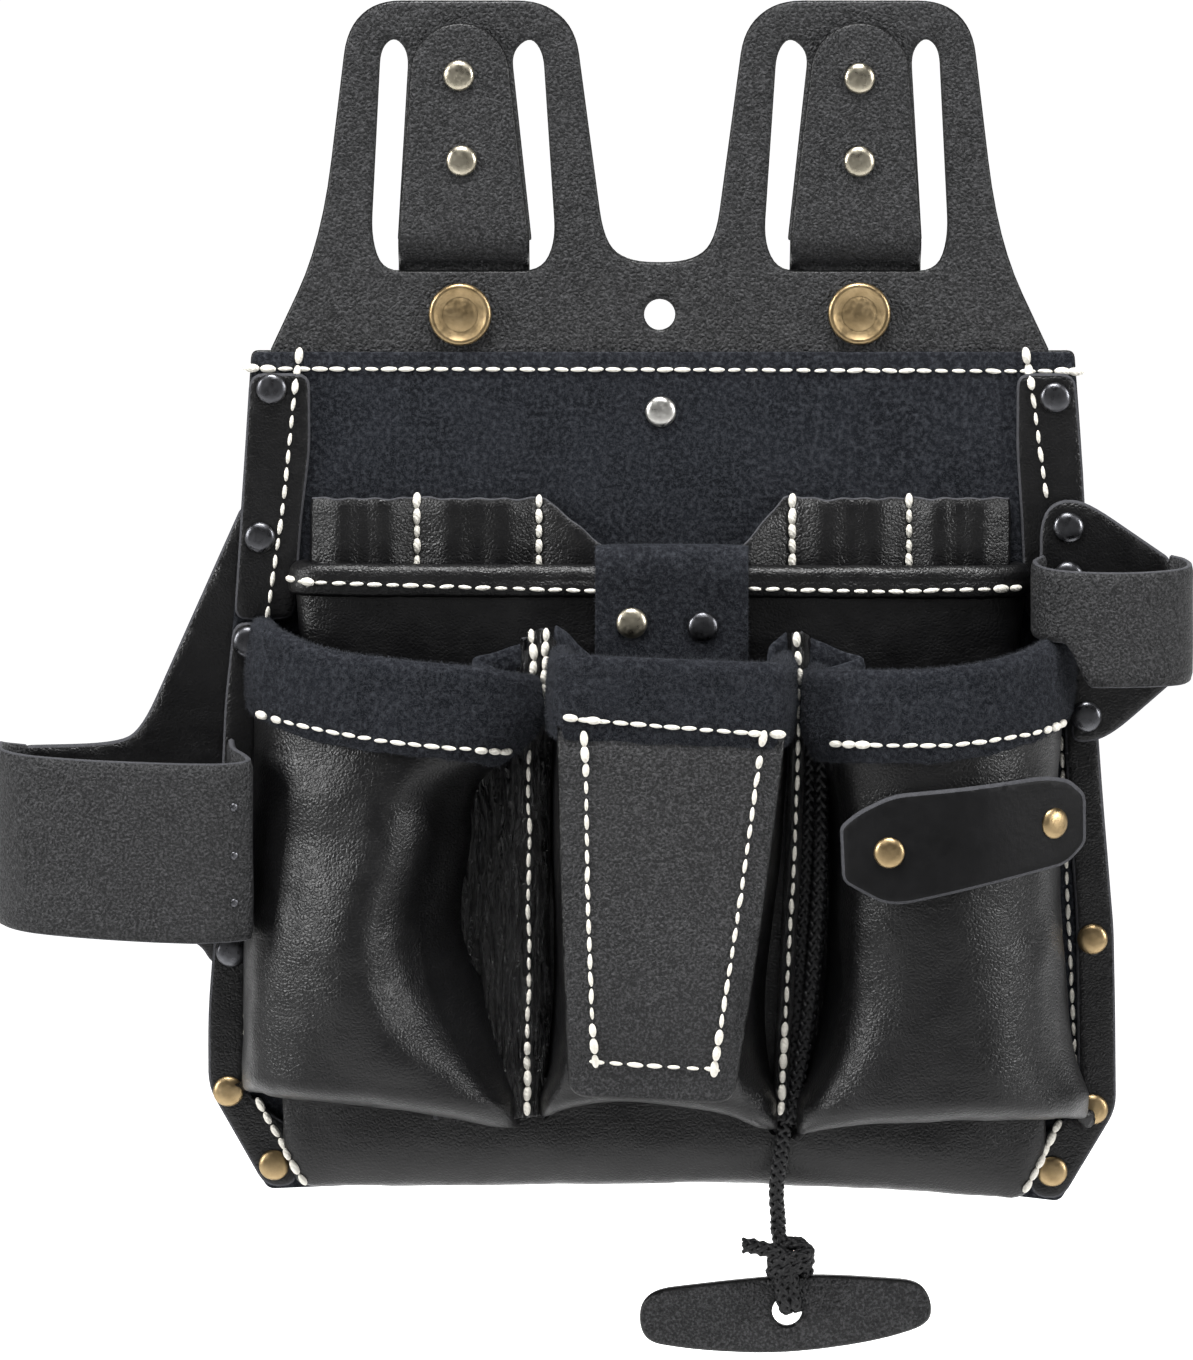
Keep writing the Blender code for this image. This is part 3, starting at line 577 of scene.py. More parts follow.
def lay(points, onto, lift=0.30, gap=1.0):
    """Line given as (x, z) points, laid from the front onto the first surface it meets."""
    trees = [tree_of(o) for o in onto]
    out = []
    for x, z in evenly(points, gap):
        hit = first_hit(trees, x, z)
        if hit is not None:
            n = hit[1] if hit[1].y < 0 else -hit[1]
            q = hit[0] / MM + n * lift
            out.append((q.x, q.y, q.z))
    return out


# ---------------------------------------------------------------- node trees for what repeats

def new_tree(name, inputs):
    """Empty geometry tree with named inputs, and its input and output nodes."""
    tree = bpy.data.node_groups.new(name, "GeometryNodeTree")
    tree.interface.new_socket("Geometry", in_out="INPUT", socket_type="NodeSocketGeometry")
    for label, kind, value in inputs:
        s = tree.interface.new_socket(label, in_out="INPUT", socket_type=kind)
        if value is not None:
            s.default_value = value
    tree.interface.new_socket("Geometry", in_out="OUTPUT", socket_type="NodeSocketGeometry")
    return tree, tree.nodes.new("NodeGroupInput"), tree.nodes.new("NodeGroupOutput")


def join(tree, *pairs):
    """Links each output to an input."""
    for a, b in pairs:
        tree.links.new(a, b)


def stitch_tree():
    """Lays one padded stitch for each pitch of the seam line."""
    tree, given, out = new_tree("stitches", [
        ("Pitch", "NodeSocketFloat", 0.0046), ("Thread", "NodeSocketFloat", 0.0006),
        ("Length", "NodeSocketFloat", 0.0019), ("Seed", "NodeSocketInt", 3),
        ("Material", "NodeSocketMaterial", None)])
    n = tree.nodes
    curve = n.new("GeometryNodeMeshToCurve")
    resample = n.new("GeometryNodeResampleCurve")
    resample.mode = "LENGTH"
    tangent = n.new("GeometryNodeInputTangent")
    capture = n.new("GeometryNodeCaptureAttribute")
    capture.capture_items.new("VECTOR", "Tangent")
    points = n.new("GeometryNodeCurveToPoints")
    points.mode = "EVALUATED"
    turn = n.new("FunctionNodeAlignRotationToVector")
    turn.axis = "Z"
    jitter = n.new("FunctionNodeRandomValue")
    jitter.data_type = "FLOAT_VECTOR"
    jitter.inputs[0].default_value = (-0.09, -0.09, 0.0)
    jitter.inputs[1].default_value = (0.09, 0.09, 3.0)
    spin = n.new("FunctionNodeRotateRotation")
    spin.rotation_space = "LOCAL"
    to_rot = n.new("FunctionNodeEulerToRotation")
    ball = n.new("GeometryNodeMeshUVSphere")
    ball.inputs["Segments"].default_value = 10
    ball.inputs["Rings"].default_value = 8
    ball.inputs["Radius"].default_value = 1.0
    size = n.new("ShaderNodeCombineXYZ")
    vary = n.new("FunctionNodeRandomValue")
    vary.data_type = "FLOAT"
    vary.inputs[2].default_value = 0.84
    vary.inputs[3].default_value = 1.14
    grow = n.new("ShaderNodeVectorMath")
    grow.operation = "SCALE"
    inst = n.new("GeometryNodeInstanceOnPoints")
    real = n.new("GeometryNodeRealizeInstances")
    smooth = n.new("GeometryNodeSetShadeSmooth")
    mat = n.new("GeometryNodeSetMaterial")
    join(tree,
         (given.outputs["Geometry"], curve.inputs["Mesh"]),
         (curve.outputs["Curve"], resample.inputs["Curve"]),
         (given.outputs["Pitch"], resample.inputs["Length"]),
         (resample.outputs["Curve"], capture.inputs["Geometry"]),
         (tangent.outputs["Tangent"], capture.inputs["Tangent"]),
         (capture.outputs["Geometry"], points.inputs["Curve"]),
         (capture.outputs["Tangent"], turn.inputs["Vector"]),
         (given.outputs["Seed"], jitter.inputs["Seed"]),
         (jitter.outputs[0], to_rot.inputs["Euler"]),
         (turn.outputs["Rotation"], spin.inputs["Rotation"]),
         (to_rot.outputs["Rotation"], spin.inputs["Rotate By"]),
         (given.outputs["Thread"], size.inputs["X"]),
         (given.outputs["Thread"], size.inputs["Y"]),
         (given.outputs["Length"], size.inputs["Z"]),
         (given.outputs["Seed"], vary.inputs["Seed"]),
         (size.outputs["Vector"], grow.inputs["Vector"]),
         (vary.outputs[1], grow.inputs["Scale"]),
         (points.outputs["Points"], inst.inputs["Points"]),
         (ball.outputs["Mesh"], inst.inputs["Instance"]),
         (spin.outputs["Rotation"], inst.inputs["Rotation"]),
         (grow.outputs["Vector"], inst.inputs["Scale"]),
         (inst.outputs["Instances"], real.inputs["Geometry"]),
         (real.outputs["Geometry"], smooth.inputs["Geometry"]),
         (smooth.outputs["Geometry"], mat.inputs["Geometry"]),
         (given.outputs["Material"], mat.inputs["Material"]),
         (mat.outputs["Geometry"], out.inputs["Geometry"]))
    return tree


def nap_tree():
    """Scatters short leaning fibres over suede."""
    tree, given, out = new_tree("suede_fibres", [
        ("Density", "NodeSocketFloat", 900000.0), ("Fibre", "NodeSocketFloat", 0.0009),
        ("Width", "NodeSocketFloat", 0.00009), ("Seed", "NodeSocketInt", 5),
        ("Material", "NodeSocketMaterial", None)])
    n = tree.nodes
    scatter = n.new("GeometryNodeDistributePointsOnFaces")
    lean = n.new("FunctionNodeRandomValue")
    lean.data_type = "FLOAT_VECTOR"
    lean.inputs[0].default_value = (-1.1, -1.1, 0.0)
    lean.inputs[1].default_value = (1.1, 1.1, 6.28)
    to_rot = n.new("FunctionNodeEulerToRotation")
    turn = n.new("FunctionNodeRotateRotation")
    turn.rotation_space = "LOCAL"
    cone = n.new("GeometryNodeMeshCone")
    cone.fill_type = "TRIANGLE_FAN"
    cone.inputs["Vertices"].default_value = 3
    cone.inputs["Radius Top"].default_value = 0.0
    size = n.new("FunctionNodeRandomValue")
    size.data_type = "FLOAT"
    size.inputs[2].default_value = 0.4
    size.inputs[3].default_value = 1.0
    inst = n.new("GeometryNodeInstanceOnPoints")
    real = n.new("GeometryNodeRealizeInstances")
    mat = n.new("GeometryNodeSetMaterial")
    join(tree,
         (given.outputs["Geometry"], scatter.inputs["Mesh"]),
         (given.outputs["Density"], scatter.inputs["Density"]),
         (given.outputs["Seed"], scatter.inputs["Seed"]),
         (given.outputs["Width"], cone.inputs["Radius Bottom"]),
         (given.outputs["Fibre"], cone.inputs["Depth"]),
         (given.outputs["Seed"], lean.inputs["Seed"]),
         (given.outputs["Seed"], size.inputs["Seed"]),
         (lean.outputs[0], to_rot.inputs["Euler"]),
         (scatter.outputs["Rotation"], turn.inputs["Rotation"]),
         (to_rot.outputs["Rotation"], turn.inputs["Rotate By"]),
         (scatter.outputs["Points"], inst.inputs["Points"]),
         (cone.outputs["Mesh"], inst.inputs["Instance"]),
         (turn.outputs["Rotation"], inst.inputs["Rotation"]),
         (size.outputs[1], inst.inputs["Scale"]),
         (inst.outputs["Instances"], real.inputs["Geometry"]),
         (real.outputs["Geometry"], mat.inputs["Geometry"]),
         (given.outputs["Material"], mat.inputs["Material"]),
         (mat.outputs["Geometry"], out.inputs["Geometry"]))
    return tree


def rivet_tree():
    """Sets one rivet head at each point, turned to the point's own direction."""
    tree, given, out = new_tree("rivets", [
        ("Head", "NodeSocketObject", None), ("Material", "NodeSocketMaterial", None)])
    n = tree.nodes
    head = n.new("GeometryNodeObjectInfo")
    facing = n.new("GeometryNodeInputNamedAttribute")
    facing.data_type = "FLOAT_VECTOR"
    facing.inputs["Name"].default_value = "facing"
    turn = n.new("FunctionNodeAlignRotationToVector")
    turn.axis = "Z"
    inst = n.new("GeometryNodeInstanceOnPoints")
    real = n.new("GeometryNodeRealizeInstances")
    mat = n.new("GeometryNodeSetMaterial")
    join(tree,
         (given.outputs["Head"], head.inputs["Object"]),
         (facing.outputs["Attribute"], turn.inputs["Vector"]),
         (given.outputs["Geometry"], inst.inputs["Points"]),
         (head.outputs["Geometry"], inst.inputs["Instance"]),
         (turn.outputs["Rotation"], inst.inputs["Rotation"]),
         (inst.outputs["Instances"], real.inputs["Geometry"]),
         (real.outputs["Geometry"], mat.inputs["Geometry"]),
         (given.outputs["Material"], mat.inputs["Material"]),
         (mat.outputs["Geometry"], out.inputs["Geometry"]))
    return tree


STITCHES = stitch_tree()
FIBRES = nap_tree()
RIVETS = rivet_tree()


def grow(ob, tree, values):
    """Runs a node tree on the object with the given inputs and keeps the result as its plain mesh."""
    mod = ob.modifiers.new("nodes", "NODES")
    mod.node_group = tree
    for item in tree.interface.items_tree:
        if item.item_type == "SOCKET" and item.in_out == "INPUT" and item.name in values:
            mod[item.identifier] = values[item.name]
    bpy.context.view_layer.update()
    got = bpy.data.meshes.new_from_object(ob.evaluated_get(bpy.context.evaluated_depsgraph_get()))
    old = ob.data
    ob.modifiers.clear()
    ob.data = got
    bpy.data.meshes.remove(old)
    return ob


def sew(name, body, seams, bold, pitch=4.6, thread_r=0.62, seed=3):
    """Stitches along seam lines in millimetres; bold lines are back-tacked with thicker, closer stitches."""
    plain = (seams, pitch, thread_r, pitch * 0.43)
    tacked = (bold, pitch * 0.8, thread_r * 1.75, pitch * 0.46)
    parts = []
    for lines, step, r, half_length in (plain, tacked):
        verts = []
        edges = []
        for line in lines:
            if len(line) > 2:
                a = len(verts)
                verts += [(q[0] * MM, q[1] * MM, q[2] * MM) for q in line]
                edges += [(a + k, a + k + 1) for k in range(len(line) - 1)]
        mesh = bpy.data.meshes.new(name)
        mesh.from_pydata(verts, edges, [])
        parts.append(grow(put(name, mesh), STITCHES, {"Pitch": step * MM, "Thread": r * MM,
                                                      "Length": half_length * MM, "Seed": seed,
                                                      "Material": THREAD}))
    ob = merge(name, parts)
    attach(ob, body)
    return ob


def merge(name, parts):
    """One object from several plain ones, each face keeping its own material."""
    bm = bmesh.new()
    mats = []
    for p in parts:
        remap = []
        for m in p.data.materials:
            if m not in mats:
                mats.append(m)
            remap.append(mats.index(m))
        start = len(bm.faces)
        bm.from_mesh(p.data)
        bm.faces.ensure_lookup_table()
        for f in bm.faces[start:]:
            f.material_index = remap[f.material_index]
    mesh = bpy.data.meshes.new(name)
    bm.to_mesh(mesh)
    bm.free()
    for m in mats:
        mesh.materials.append(m)
    ob = put(name, mesh)
    for p in parts:
        bpy.data.objects.remove(p, do_unlink=True)
    return ob


def turned_head(profile, steps=32):
    """Turned solid about +Z from (radius, height) points in millimetres, closed on the axis."""
    verts = []
    faces = []
    rings = []
    for r, h in profile:
        if r == 0.0:
            rings.append([len(verts)])
            verts.append((0.0, 0.0, h * MM))
        else:
            rings.append(list(range(len(verts), len(verts) + steps)))
            verts += [(r * MM * math.cos(a), r * MM * math.sin(a), h * MM)
                      for a in (2 * math.pi * k / steps for k in range(steps))]
    for a, b in zip(rings, rings[1:]):
        for k in range(steps):
            j = (k + 1) % steps
            if len(a) == 1:
                faces.append((a[0], b[k], b[j]))
            elif len(b) == 1:
                faces.append((a[k], b[0], a[j]))
            else:
                faces.append((a[k], b[k], b[j], a[j]))
    mesh = bpy.data.meshes.new("head")
    mesh.from_pydata(verts, [], faces)
    turn_outwards(mesh)
    mesh.shade_smooth()
    return put("head", mesh)


def points_object(name, spots, ways):
    """Loose points in metres, each with the direction that its rivet faces."""
    mesh = bpy.data.meshes.new(name)
    mesh.from_pydata(spots, [], [])
    att = mesh.attributes.new("facing", "FLOAT_VECTOR", "POINT")
    att.data.foreach_set("vector", [c for w in ways for c in w])
    return put(name, mesh)


def set_heads(name, body, finish, spots, ways, profile):
    """One turned head at each spot, in metres, facing its own way."""
    ob = points_object(name, spots, ways)
    head = turned_head(profile)
    grow(ob, RIVETS, {"Head": head, "Material": METALS[finish]})
    bpy.data.objects.remove(head, do_unlink=True)
    ob.data.shade_smooth()
    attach(ob, body)
    return ob


def set_rivets(name, body, finish, nodes, profile):
    """Rivets in place of the named solids, each standing on its solid's own front plane."""
    spots = []
    for node in nodes:
        lo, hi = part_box(node)
        spots.append(((lo.x + hi.x) / 2, lo.y + profile[0][1] * MM, (lo.z + hi.z) / 2))
    ob = set_heads(name, body, finish, spots, [(0.0, -1.0, 0.0)] * len(spots), profile)
    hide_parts(*nodes)
    return ob


def nap(ob, density, fibre, seed, above=None):
    """Short fibres over a suede piece, or only over its front above a height in millimetres.

    The density is in fibres per square millimetre and the fibre's length in millimetres."""
    source = put("nap_source", ob.data.copy())
    if above is not None:
        bm = bmesh.new()
        bm.from_mesh(source.data)
        hidden = [f for f in bm.faces if f.calc_center_median().z < above * MM or f.normal.y > -0.3]
        bmesh.ops.delete(bm, geom=hidden, context="FACES")
        bm.to_mesh(source.data)
        bm.free()
    grow(source, FIBRES, {"Density": density * 1e6, "Fibre": fibre * MM, "Width": 0.085 * MM,
                          "Seed": seed, "Material": NAP})
    return merge(ob.name, [ob, source])


def fit(ob, body, finish, *nodes):
    """Says what carries the piece and the solids it stands for; its finish is not used."""
    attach(ob, body)
    if nodes:
        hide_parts(*nodes)
    return ob


# ---------------------------------------------------------------- camera, light and floor

def look_at(ob, target):
    ob.rotation_euler = (Vector(target) - ob.location).to_track_quat("-Z", "Y").to_euler()


def set_camera():
    target = Vector((-17.1, -20.0, -106.4)) * MM
    rise = math.radians(7.0)
    away = 2.5
    data = bpy.data.cameras.new("camera")
    data.sensor_width = 36.0
    data.lens = 245.0
    data.clip_end = 60.0
    cam = put("camera", data)
    cam.location = target + Vector((0.0, -math.cos(rise), math.sin(rise))) * away
    look_at(cam, target)
    bpy.context.scene.camera = cam


def area_light(name, where, aim, size, power, stretch):
    """Soft light of the given width in metres; stretch is its height for each unit of width."""
    data = bpy.data.lights.new(name, "AREA")
    data.shape = "RECTANGLE"
    data.size = size
    data.size_y = size * stretch
    data.energy = power
    data.spread = math.radians(75.0)
    ob = put(name, data)
    ob.location = where
    look_at(ob, aim)


def floor_finish():
    """White floor that glows behind the pouch and less in front of it, so the leather doesn't mirror it."""
    f = Finish("studio_floor", 0.9, gloss=0.0)
    f.colour(f.blend(f.noise(2.0, 1.0), (0.90, 0.90, 0.90), (0.93, 0.93, 0.93)))
    f.skin.inputs["Emission Color"].default_value = (1.0, 1.0, 1.0, 1.0)
    axes = f.nodes.new("ShaderNodeSeparateXYZ")
    f.links.new(f.coord, axes.inputs["Vector"])
    f.links.new(f.spread(axes.outputs["Y"], 0.15, 0.45, 0.20, 0.95), f.skin.inputs["Emission Strength"])
    return f.mat


def set_studio():
    aim = (0.0, 0.0, -0.10)
    area_light("top_softbox", (-0.10, -0.50, 1.30), aim, 0.7, 7.6, 0.45)
    area_light("left_softbox", (-1.55, -0.62, 0.40), aim, 0.36, 6.2, 2.6)
    area_light("right_softbox", (1.50, -0.66, 0.30), aim, 0.34, 4.4, 2.6)
    area_light("front_fill", (0.30, -1.5, 1.70), aim, 0.6, 1.6, 0.6)
    area_light("back_softbox", (0.4, 1.6, 0.9), aim, 1.2, 4.0, 0.8)
    world = bpy.data.worlds.new("studio")
    world.use_nodes = True
    sky = world.node_tree.nodes["Background"]
    sky.inputs["Color"].default_value = (1.0, 1.0, 1.0, 1.0)
    sky.inputs["Strength"].default_value = 0.14
    bpy.context.scene.world = world
    bpy.context.scene.view_settings.view_transform = "Standard"
    mesh = bpy.data.meshes.new("floor")
    half = 14.0
    low = -0.42
    corners = [(-half, -half, low), (half, -half, low), (half, half, low), (-half, half, low)]
    mesh.from_pydata(corners, [], [(0, 1, 2, 3)])
    mesh.materials.append(floor_finish())
    put("floor", mesh)


set_camera()
set_studio()


# ---------------------------------------------------------------- toggle cord

CORD_R = 2.1
CORD_ROUTE = [(0.0404, -0.0270, -0.1190), (0.0406, -0.0254, -0.1350), (0.0396, -0.0246, -0.1600),
              (0.0376, -0.0244, -0.1900), (0.0356, -0.0248, -0.2150), (0.0334, -0.0246, -0.2320),
              (0.0318, -0.0224, -0.2450), (0.0324, -0.0196, -0.2554)]
LOOP_ROUTE = [(0.0330, -0.0233, -0.2686), (0.0334, -0.0242, -0.2730), (0.0340, -0.0240, -0.2766),
              (0.0346, -0.0222, -0.2781), (0.0348, -0.0190, -0.2785), (0.0348, -0.0158, -0.2781),
              (0.0352, -0.0140, -0.2766), (0.0358, -0.0138, -0.2730), (0.0364, -0.0147, -0.2686)]
SEEN_KNOT = (35.6, -21.2, -266.0)


def braid(name, points, radius=CORD_R, pitch=11.0, strands=8, sides=6):
    """Piece of braided cord: strands winding both ways over a plain core, in millimetres."""
    count = max(12, int(run_length(points) / pitch * 14))
    p = spline(points, count)
    t = directions(p)
    side = np.cross(t[0], (0.3, 0.8, 0.52))
    side /= np.linalg.norm(side)
    frames = []
    for k in range(count):
        side = side - t[k] * np.dot(side, t[k])
        side /= np.linalg.norm(side)
        frames.append((side.copy(), np.cross(t[k], side)))
    run = runs(p)
    verts = []
    faces = []

    def add(line, thick, flatness=1.0):
        d = directions(line)
        base = len(verts)
        for k in range(count):
            out = line[k] - p[k]
            if np.linalg.norm(out) < 1e-6:
                out = frames[k][0]
            out = out / np.linalg.norm(out)
            across = np.cross(d[k], out)
            across /= np.linalg.norm(across) + 1e-9
            for j in range(sides):
                a = 2 * math.pi * j / sides
                verts.append(tuple(line[k] + out * thick * flatness * math.cos(a)
                                   + across * thick * math.sin(a)))
        for k in range(count - 1):
            for j in range(sides):
                i = (j + 1) % sides
                faces.append((base + k * sides + j, base + k * sides + i,
                              base + (k + 1) * sides + i, base + (k + 1) * sides + j))
        faces.append(tuple(reversed(range(base, base + sides))))
        faces.append(tuple(range(base + (count - 1) * sides, base + count * sides)))

    add(p, radius * 0.70)
    for s in range(strands):
        way = 1 if s % 2 else -1
        start = 2 * math.pi * (s // 2) / (strands / 2) + (0.0 if way > 0 else math.pi / strands)
        line = np.zeros_like(p)
        for k in range(count):
            a = start + way * 2 * math.pi * run[k] / pitch
            over = 0.10 * radius * math.cos(strands / 2 * a)
            reach = radius * 0.74 + over * way
            line[k] = p[k] + (frames[k][0] * math.cos(a) + frames[k][1] * math.sin(a)) * reach
        add(line, radius * 0.36, 0.72)
    return piece(name, verts, faces, [CORD])


def millimetres(route):
    return [tuple(c / MM for c in q) for q in route]


def knot_turns(steps=55):
    """The cord's two turns round the knot, winding down."""
    out = []
    for k in range(steps + 1):
        t = k / steps
        a = 4.2 * math.pi * t - 0.6
        out.append((SEEN_KNOT[0] + 4.6 * math.cos(a), SEEN_KNOT[1] - 3.4 * math.sin(a),
                    SEEN_KNOT[2] + 2.6 - 5.6 * t + 0.8 * math.cos(a)))
    return out


def build_cord():
    cord = fit(braid("toggle_cord_braid", millimetres(CORD_ROUTE)), "cord", "cord", "toggle_cord")
    near = braid("loop_near", millimetres(LOOP_ROUTE))
    second = [(x + 2.7, y + 0.3, z + 0.5) for x, y, z in millimetres(LOOP_ROUTE)[:5]]
    loop = merge("toggle_loop_braid", [near, braid("loop_second", second)])
    fit(loop, "toggle_end", "cord", "cord_loop")
    lines = (knot_turns(),
             [(32.2, -19.9, -254.9), (32.4, -20.0, -257.6), (33.2, -20.8, -261.0), (35.0, -21.2, -265.0)],
             [(35.0, -22.6, -264.0), (31.0, -23.6, -262.4), (27.4, -23.2, -261.6), (24.6, -22.6, -261.0),
              (22.8, -22.4, -261.0)],
             [(33.6, -20.6, -261.4), (37.4, -21.6, -260.6), (40.4, -21.8, -263.4), (38.6, -21.4, -267.0)],
             [(36.2, -23.0, -265.0), (35.6, -24.0, -268.0), (34.6, -24.0, -270.6)])
    knot = merge("toggle_knot", [braid("knot_part", line) for line in lines])
    fit(knot, "toggle_end", "cord", "cord_knot")
    shape = [(-5.2, -277.6), (-0.8, -273.6), (26.0, -270.4), (44.0, -269.4), (70.6, -271.2), (74.4, -277.0),
             (73.6, -283.4), (58.0, -288.2), (34.0, -291.4), (12.0, -290.6), (-2.6, -288.4), (-5.4, -284.2)]
    shape = rounded(shape, [4.0, 5.0, 12.0, 12.0, 5.0, 5.0, 6.0, 14.0, 14.0, 14.0, 4.0, 4.0], 6)
    toggle = blank("toggle_bar", shape, flat(-20.6, 0.3, 4.0), 3.2, [PEBBLED, SMOOTH],
                   [ring(34.8, -279.6, 4.1)], 1.6, 0.7, 1)
    fit(toggle, "toggle_end", "pebbled_leather", "toggle")
    [tuple(q * MM) for q in spline(millimetres(CORD_ROUTE), 28)]


build_cord()


# ---------------------------------------------------------------- yoke and belt straps

STRAP_RIVETS = [(-54.2, 56.0), (-53.5, 33.0), (53.8, 55.2), (53.8, 32.8)]
CAPS = [(-54.0, -8.7), (54.0, -8.5)]
SKIRT_Z = -32.0

# Front face and thickness of each flat layer of leather.
YOKE_LAYER = (-3.2, 3.2)
LINING_LAYER = (0.3, 2.5)
SUEDE_LAYER = (-5.0, 1.5)
STRIP_LAYER = (-7.5, 2.2)
EAR_LAYER = (-10.4, 2.6)
STRAP_THICK = 2.4

# Turned profiles, as (radius, height).
RIVET = [(0.0, 1.4), (1.5, 1.37), (2.7, 1.22), (3.55, 0.92), (4.05, 0.45), (4.2, 0.05), (4.05, -0.25),
         (0.0, -0.25)]
CAP = [(0.0, 1.32), (4.3, 1.32), (4.6, 1.12), (4.95, 1.12), (5.2, 1.32), (6.7, 1.32), (7.0, 1.66),
       (7.6, 1.72), (8.15, 1.5), (8.5, 0.9), (8.5, 0.2), (8.3, 0.0), (0.0, 0.0)]
DENT = [(0.0, 0.35), (0.7, 0.5), (1.1, 0.3), (1.2, 0.0), (0.0, -0.2)]
FOOT = [(0.0, 0.8), (1.0, 0.72), (2.2, 0.62), (2.5, 0.35), (2.5, 0.0), (0.0, 0.0)]


def set_feet(name, body, places):
    """Rivet feet at the back, at places in millimetres."""
    spots = [(x * MM, y * MM, z * MM) for x, y, z in places]
    set_heads(name, body, "gunmetal", spots, [(0.0, 1.0, 0.0)] * len(spots), FOOT)


def yoke_outline():
    left = [(-104.2, SKIRT_Z), (-105.3, -18.2), (-91.5, 11.0), (-84.4, 68.5), (-76.4, 76.0), (-31.6, 76.0),
            (-22.7, 68.4), (-15.0, 10.5), (-8.0, 5.3)]
    right = [(-x, z) for x, z in reversed(left)]
    radii = [0.0, 0.0, 22.0, 7.0, 7.0, 7.0, 7.0, 9.0, 7.0]
    return rounded(left + right, radii + list(reversed(radii)))


def slot_outline(side):
    pts = [(-71.5, 66.4), (-75.3, 63.0), (-78.0, 12.0), (-75.0, 3.0), (-32.0, 3.0), (-28.2, 11.0),
           (-31.5, 62.0), (-35.0, 66.4), (-40.0, 62.0), (-34.6, 11.2), (-70.9, 11.2), (-67.8, 62.0)]
    radii = [4.0, 4.0, 6.0, 5.0, 5.0, 6.0, 4.0, 4.0, 4.0, 0.8, 0.8, 4.0]
    return [(x * side, z) for x, z in rounded(pts, radii, 5)]


def build_yoke():
    holes = [slot_outline(1), slot_outline(-1), ring(0.0, -8.9, 4.2, 28)]
    skin = layer("yoke_skin", yoke_outline(), YOKE_LAYER, 0.12, 1.0, [PEBBLED, SMOOTH], holes, 2.0, 0.6, 1)
    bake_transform(skin)
    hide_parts("yoke")


def along(line, thick):
    """Placement on a strip led along a (y, z) line; the second coordinate is minus the run from its start."""
    p = spline(line, 160)
    run = runs(p)
    t = directions(p)

    def place(x, s, d):
        s = -s
        y = np.interp(s, run, p[:, 0])
        z = np.interp(s, run, p[:, 1])
        ty = np.interp(s, run, t[:, 0])
        tz = np.interp(s, run, t[:, 1])
        w = d - thick / 2
        return (x, y - tz * w, z + ty * w)
    return place, float(run[-1])


def build_straps():
    line = [(-4.75, 70.2), (-4.75, 60.0), (-4.8, 40.0), (-4.9, 24.0), (-5.1, 16.0), (-4.9, 12.4), (-4.1, 9.6),
            (-2.3, 7.6), (-0.2, 6.5), (1.2, 5.0), (1.55, 2.6), (1.55, -6.0), (1.55, -17.4)]
    place, run = along(line, STRAP_THICK)
    arch = [(53.9 + 13.3 * math.cos(a), -13.6 + 13.5 * math.sin(a))
            for a in np.linspace(0.05, math.pi - 0.05, 24)]
    outline = arch + [(38.6, -30.0), (35.2, -59.0), (35.2, -run + 0.2), (70.7, -run + 0.2), (70.7, -59.0),
                      (68.6, -30.0)]
    for name, side in (("left", -1), ("right", 1)):
        strap = blank("strap_" + name, [(x * side, s) for x, s in outline], place, STRAP_THICK,
                      [PEBBLED, SMOOTH], (), 1.8, 0.6, 1)
        fit(strap, "hanger", "pebbled_leather", "belt_strap_" + name)
    nodes = ["rivet_strap_left_top", "rivet_strap_left_low", "rivet_strap_right_top", "rivet_strap_right_low"]
    set_rivets("strap_rivets", "hanger", "pale_nickel", nodes, RIVET)
    set_rivets("brass_caps", "hanger", "antique_brass", ["cap_left", "cap_right"], CAP)
    set_feet("hanger_feet", "hanger", [(x, 0.3, z) for x, z in STRAP_RIVETS] + [(x, 3.1, z) for x, z in CAPS])


build_yoke()
build_straps()


# ---------------------------------------------------------------- body panels and edge strips

LEFT_EDGE = [(-110.7, -18.9), (-113.7, -62.0), (-115.6, -86.0), (-118.3, -113.5), (-121.8, -182.0),
             (-123.4, -200.0), (-123.4, -220.0), (-107.5, -248.5)]
RIGHT_EDGE = [(112.5, -18.9), (115.0, -50.0), (117.0, -86.0), (120.7, -138.0), (124.2, -176.0),
              (124.8, -200.0), (125.2, -226.0), (110.2, -252.0)]
BOTTOM_EDGE = [(80.0, -248.5), (54.0, -247.5), (0.0, -246.5), (-70.0, -247.0)]
EDGE_RIVETS = [(-105.0, -28.6), (-108.3, -69.0), (-111.6, -97.5), (-116.6, -182.5), (-117.6, -221.0),
               (-105.2, -241.4), (107.0, -31.0), (110.6, -66.0), (110.6, -79.5), (115.8, -117.6),
               (118.0, -179.0), (118.4, -226.0), (107.4, -243.2), (0.3, -35.0)]
POCKET_TOP_Z = -97.0  # the suede below this is hidden, and has no nap


def body_outline(pull):
    """The body's outline, with its sides pulled in by the given amount."""
    right = [(x - pull, z) for x, z in RIGHT_EDGE]
    left = [(x + pull, z) for x, z in reversed(LEFT_EDGE)]
    radii = [2.0] + [25.0] * 5 + [3.0, 2.0] + [12.0] * 4 + [2.0, 3.0] + [25.0] * 5 + [2.0]
    return rounded(right + BOTTOM_EDGE + left, radii, 4)


def tail_outline():
    """The yoke's lower part: the body's outline below the skirt, notched where the left wing lies."""
    top, foot = -61.0, -187.0
    kept = [(x, min(z, SKIRT_Z - 0.6)) for x, z in body_outline(0.2) if not (x < -100.0 and foot < z < top)]
    at = next(i for i, q in enumerate(kept) if q[0] < -100.0 and q[1] > foot)
    inner_x = -103.0
    notch = [(-122.0, foot - 0.4), (inner_x, foot - 0.4), (inner_x, top + 0.4), (-113.3, top + 0.4)]
    kept = kept[:at] + notch + kept[at:]
    return [q for k, q in enumerate(kept) if math.dist(q, kept[k - 1]) > 0.05]


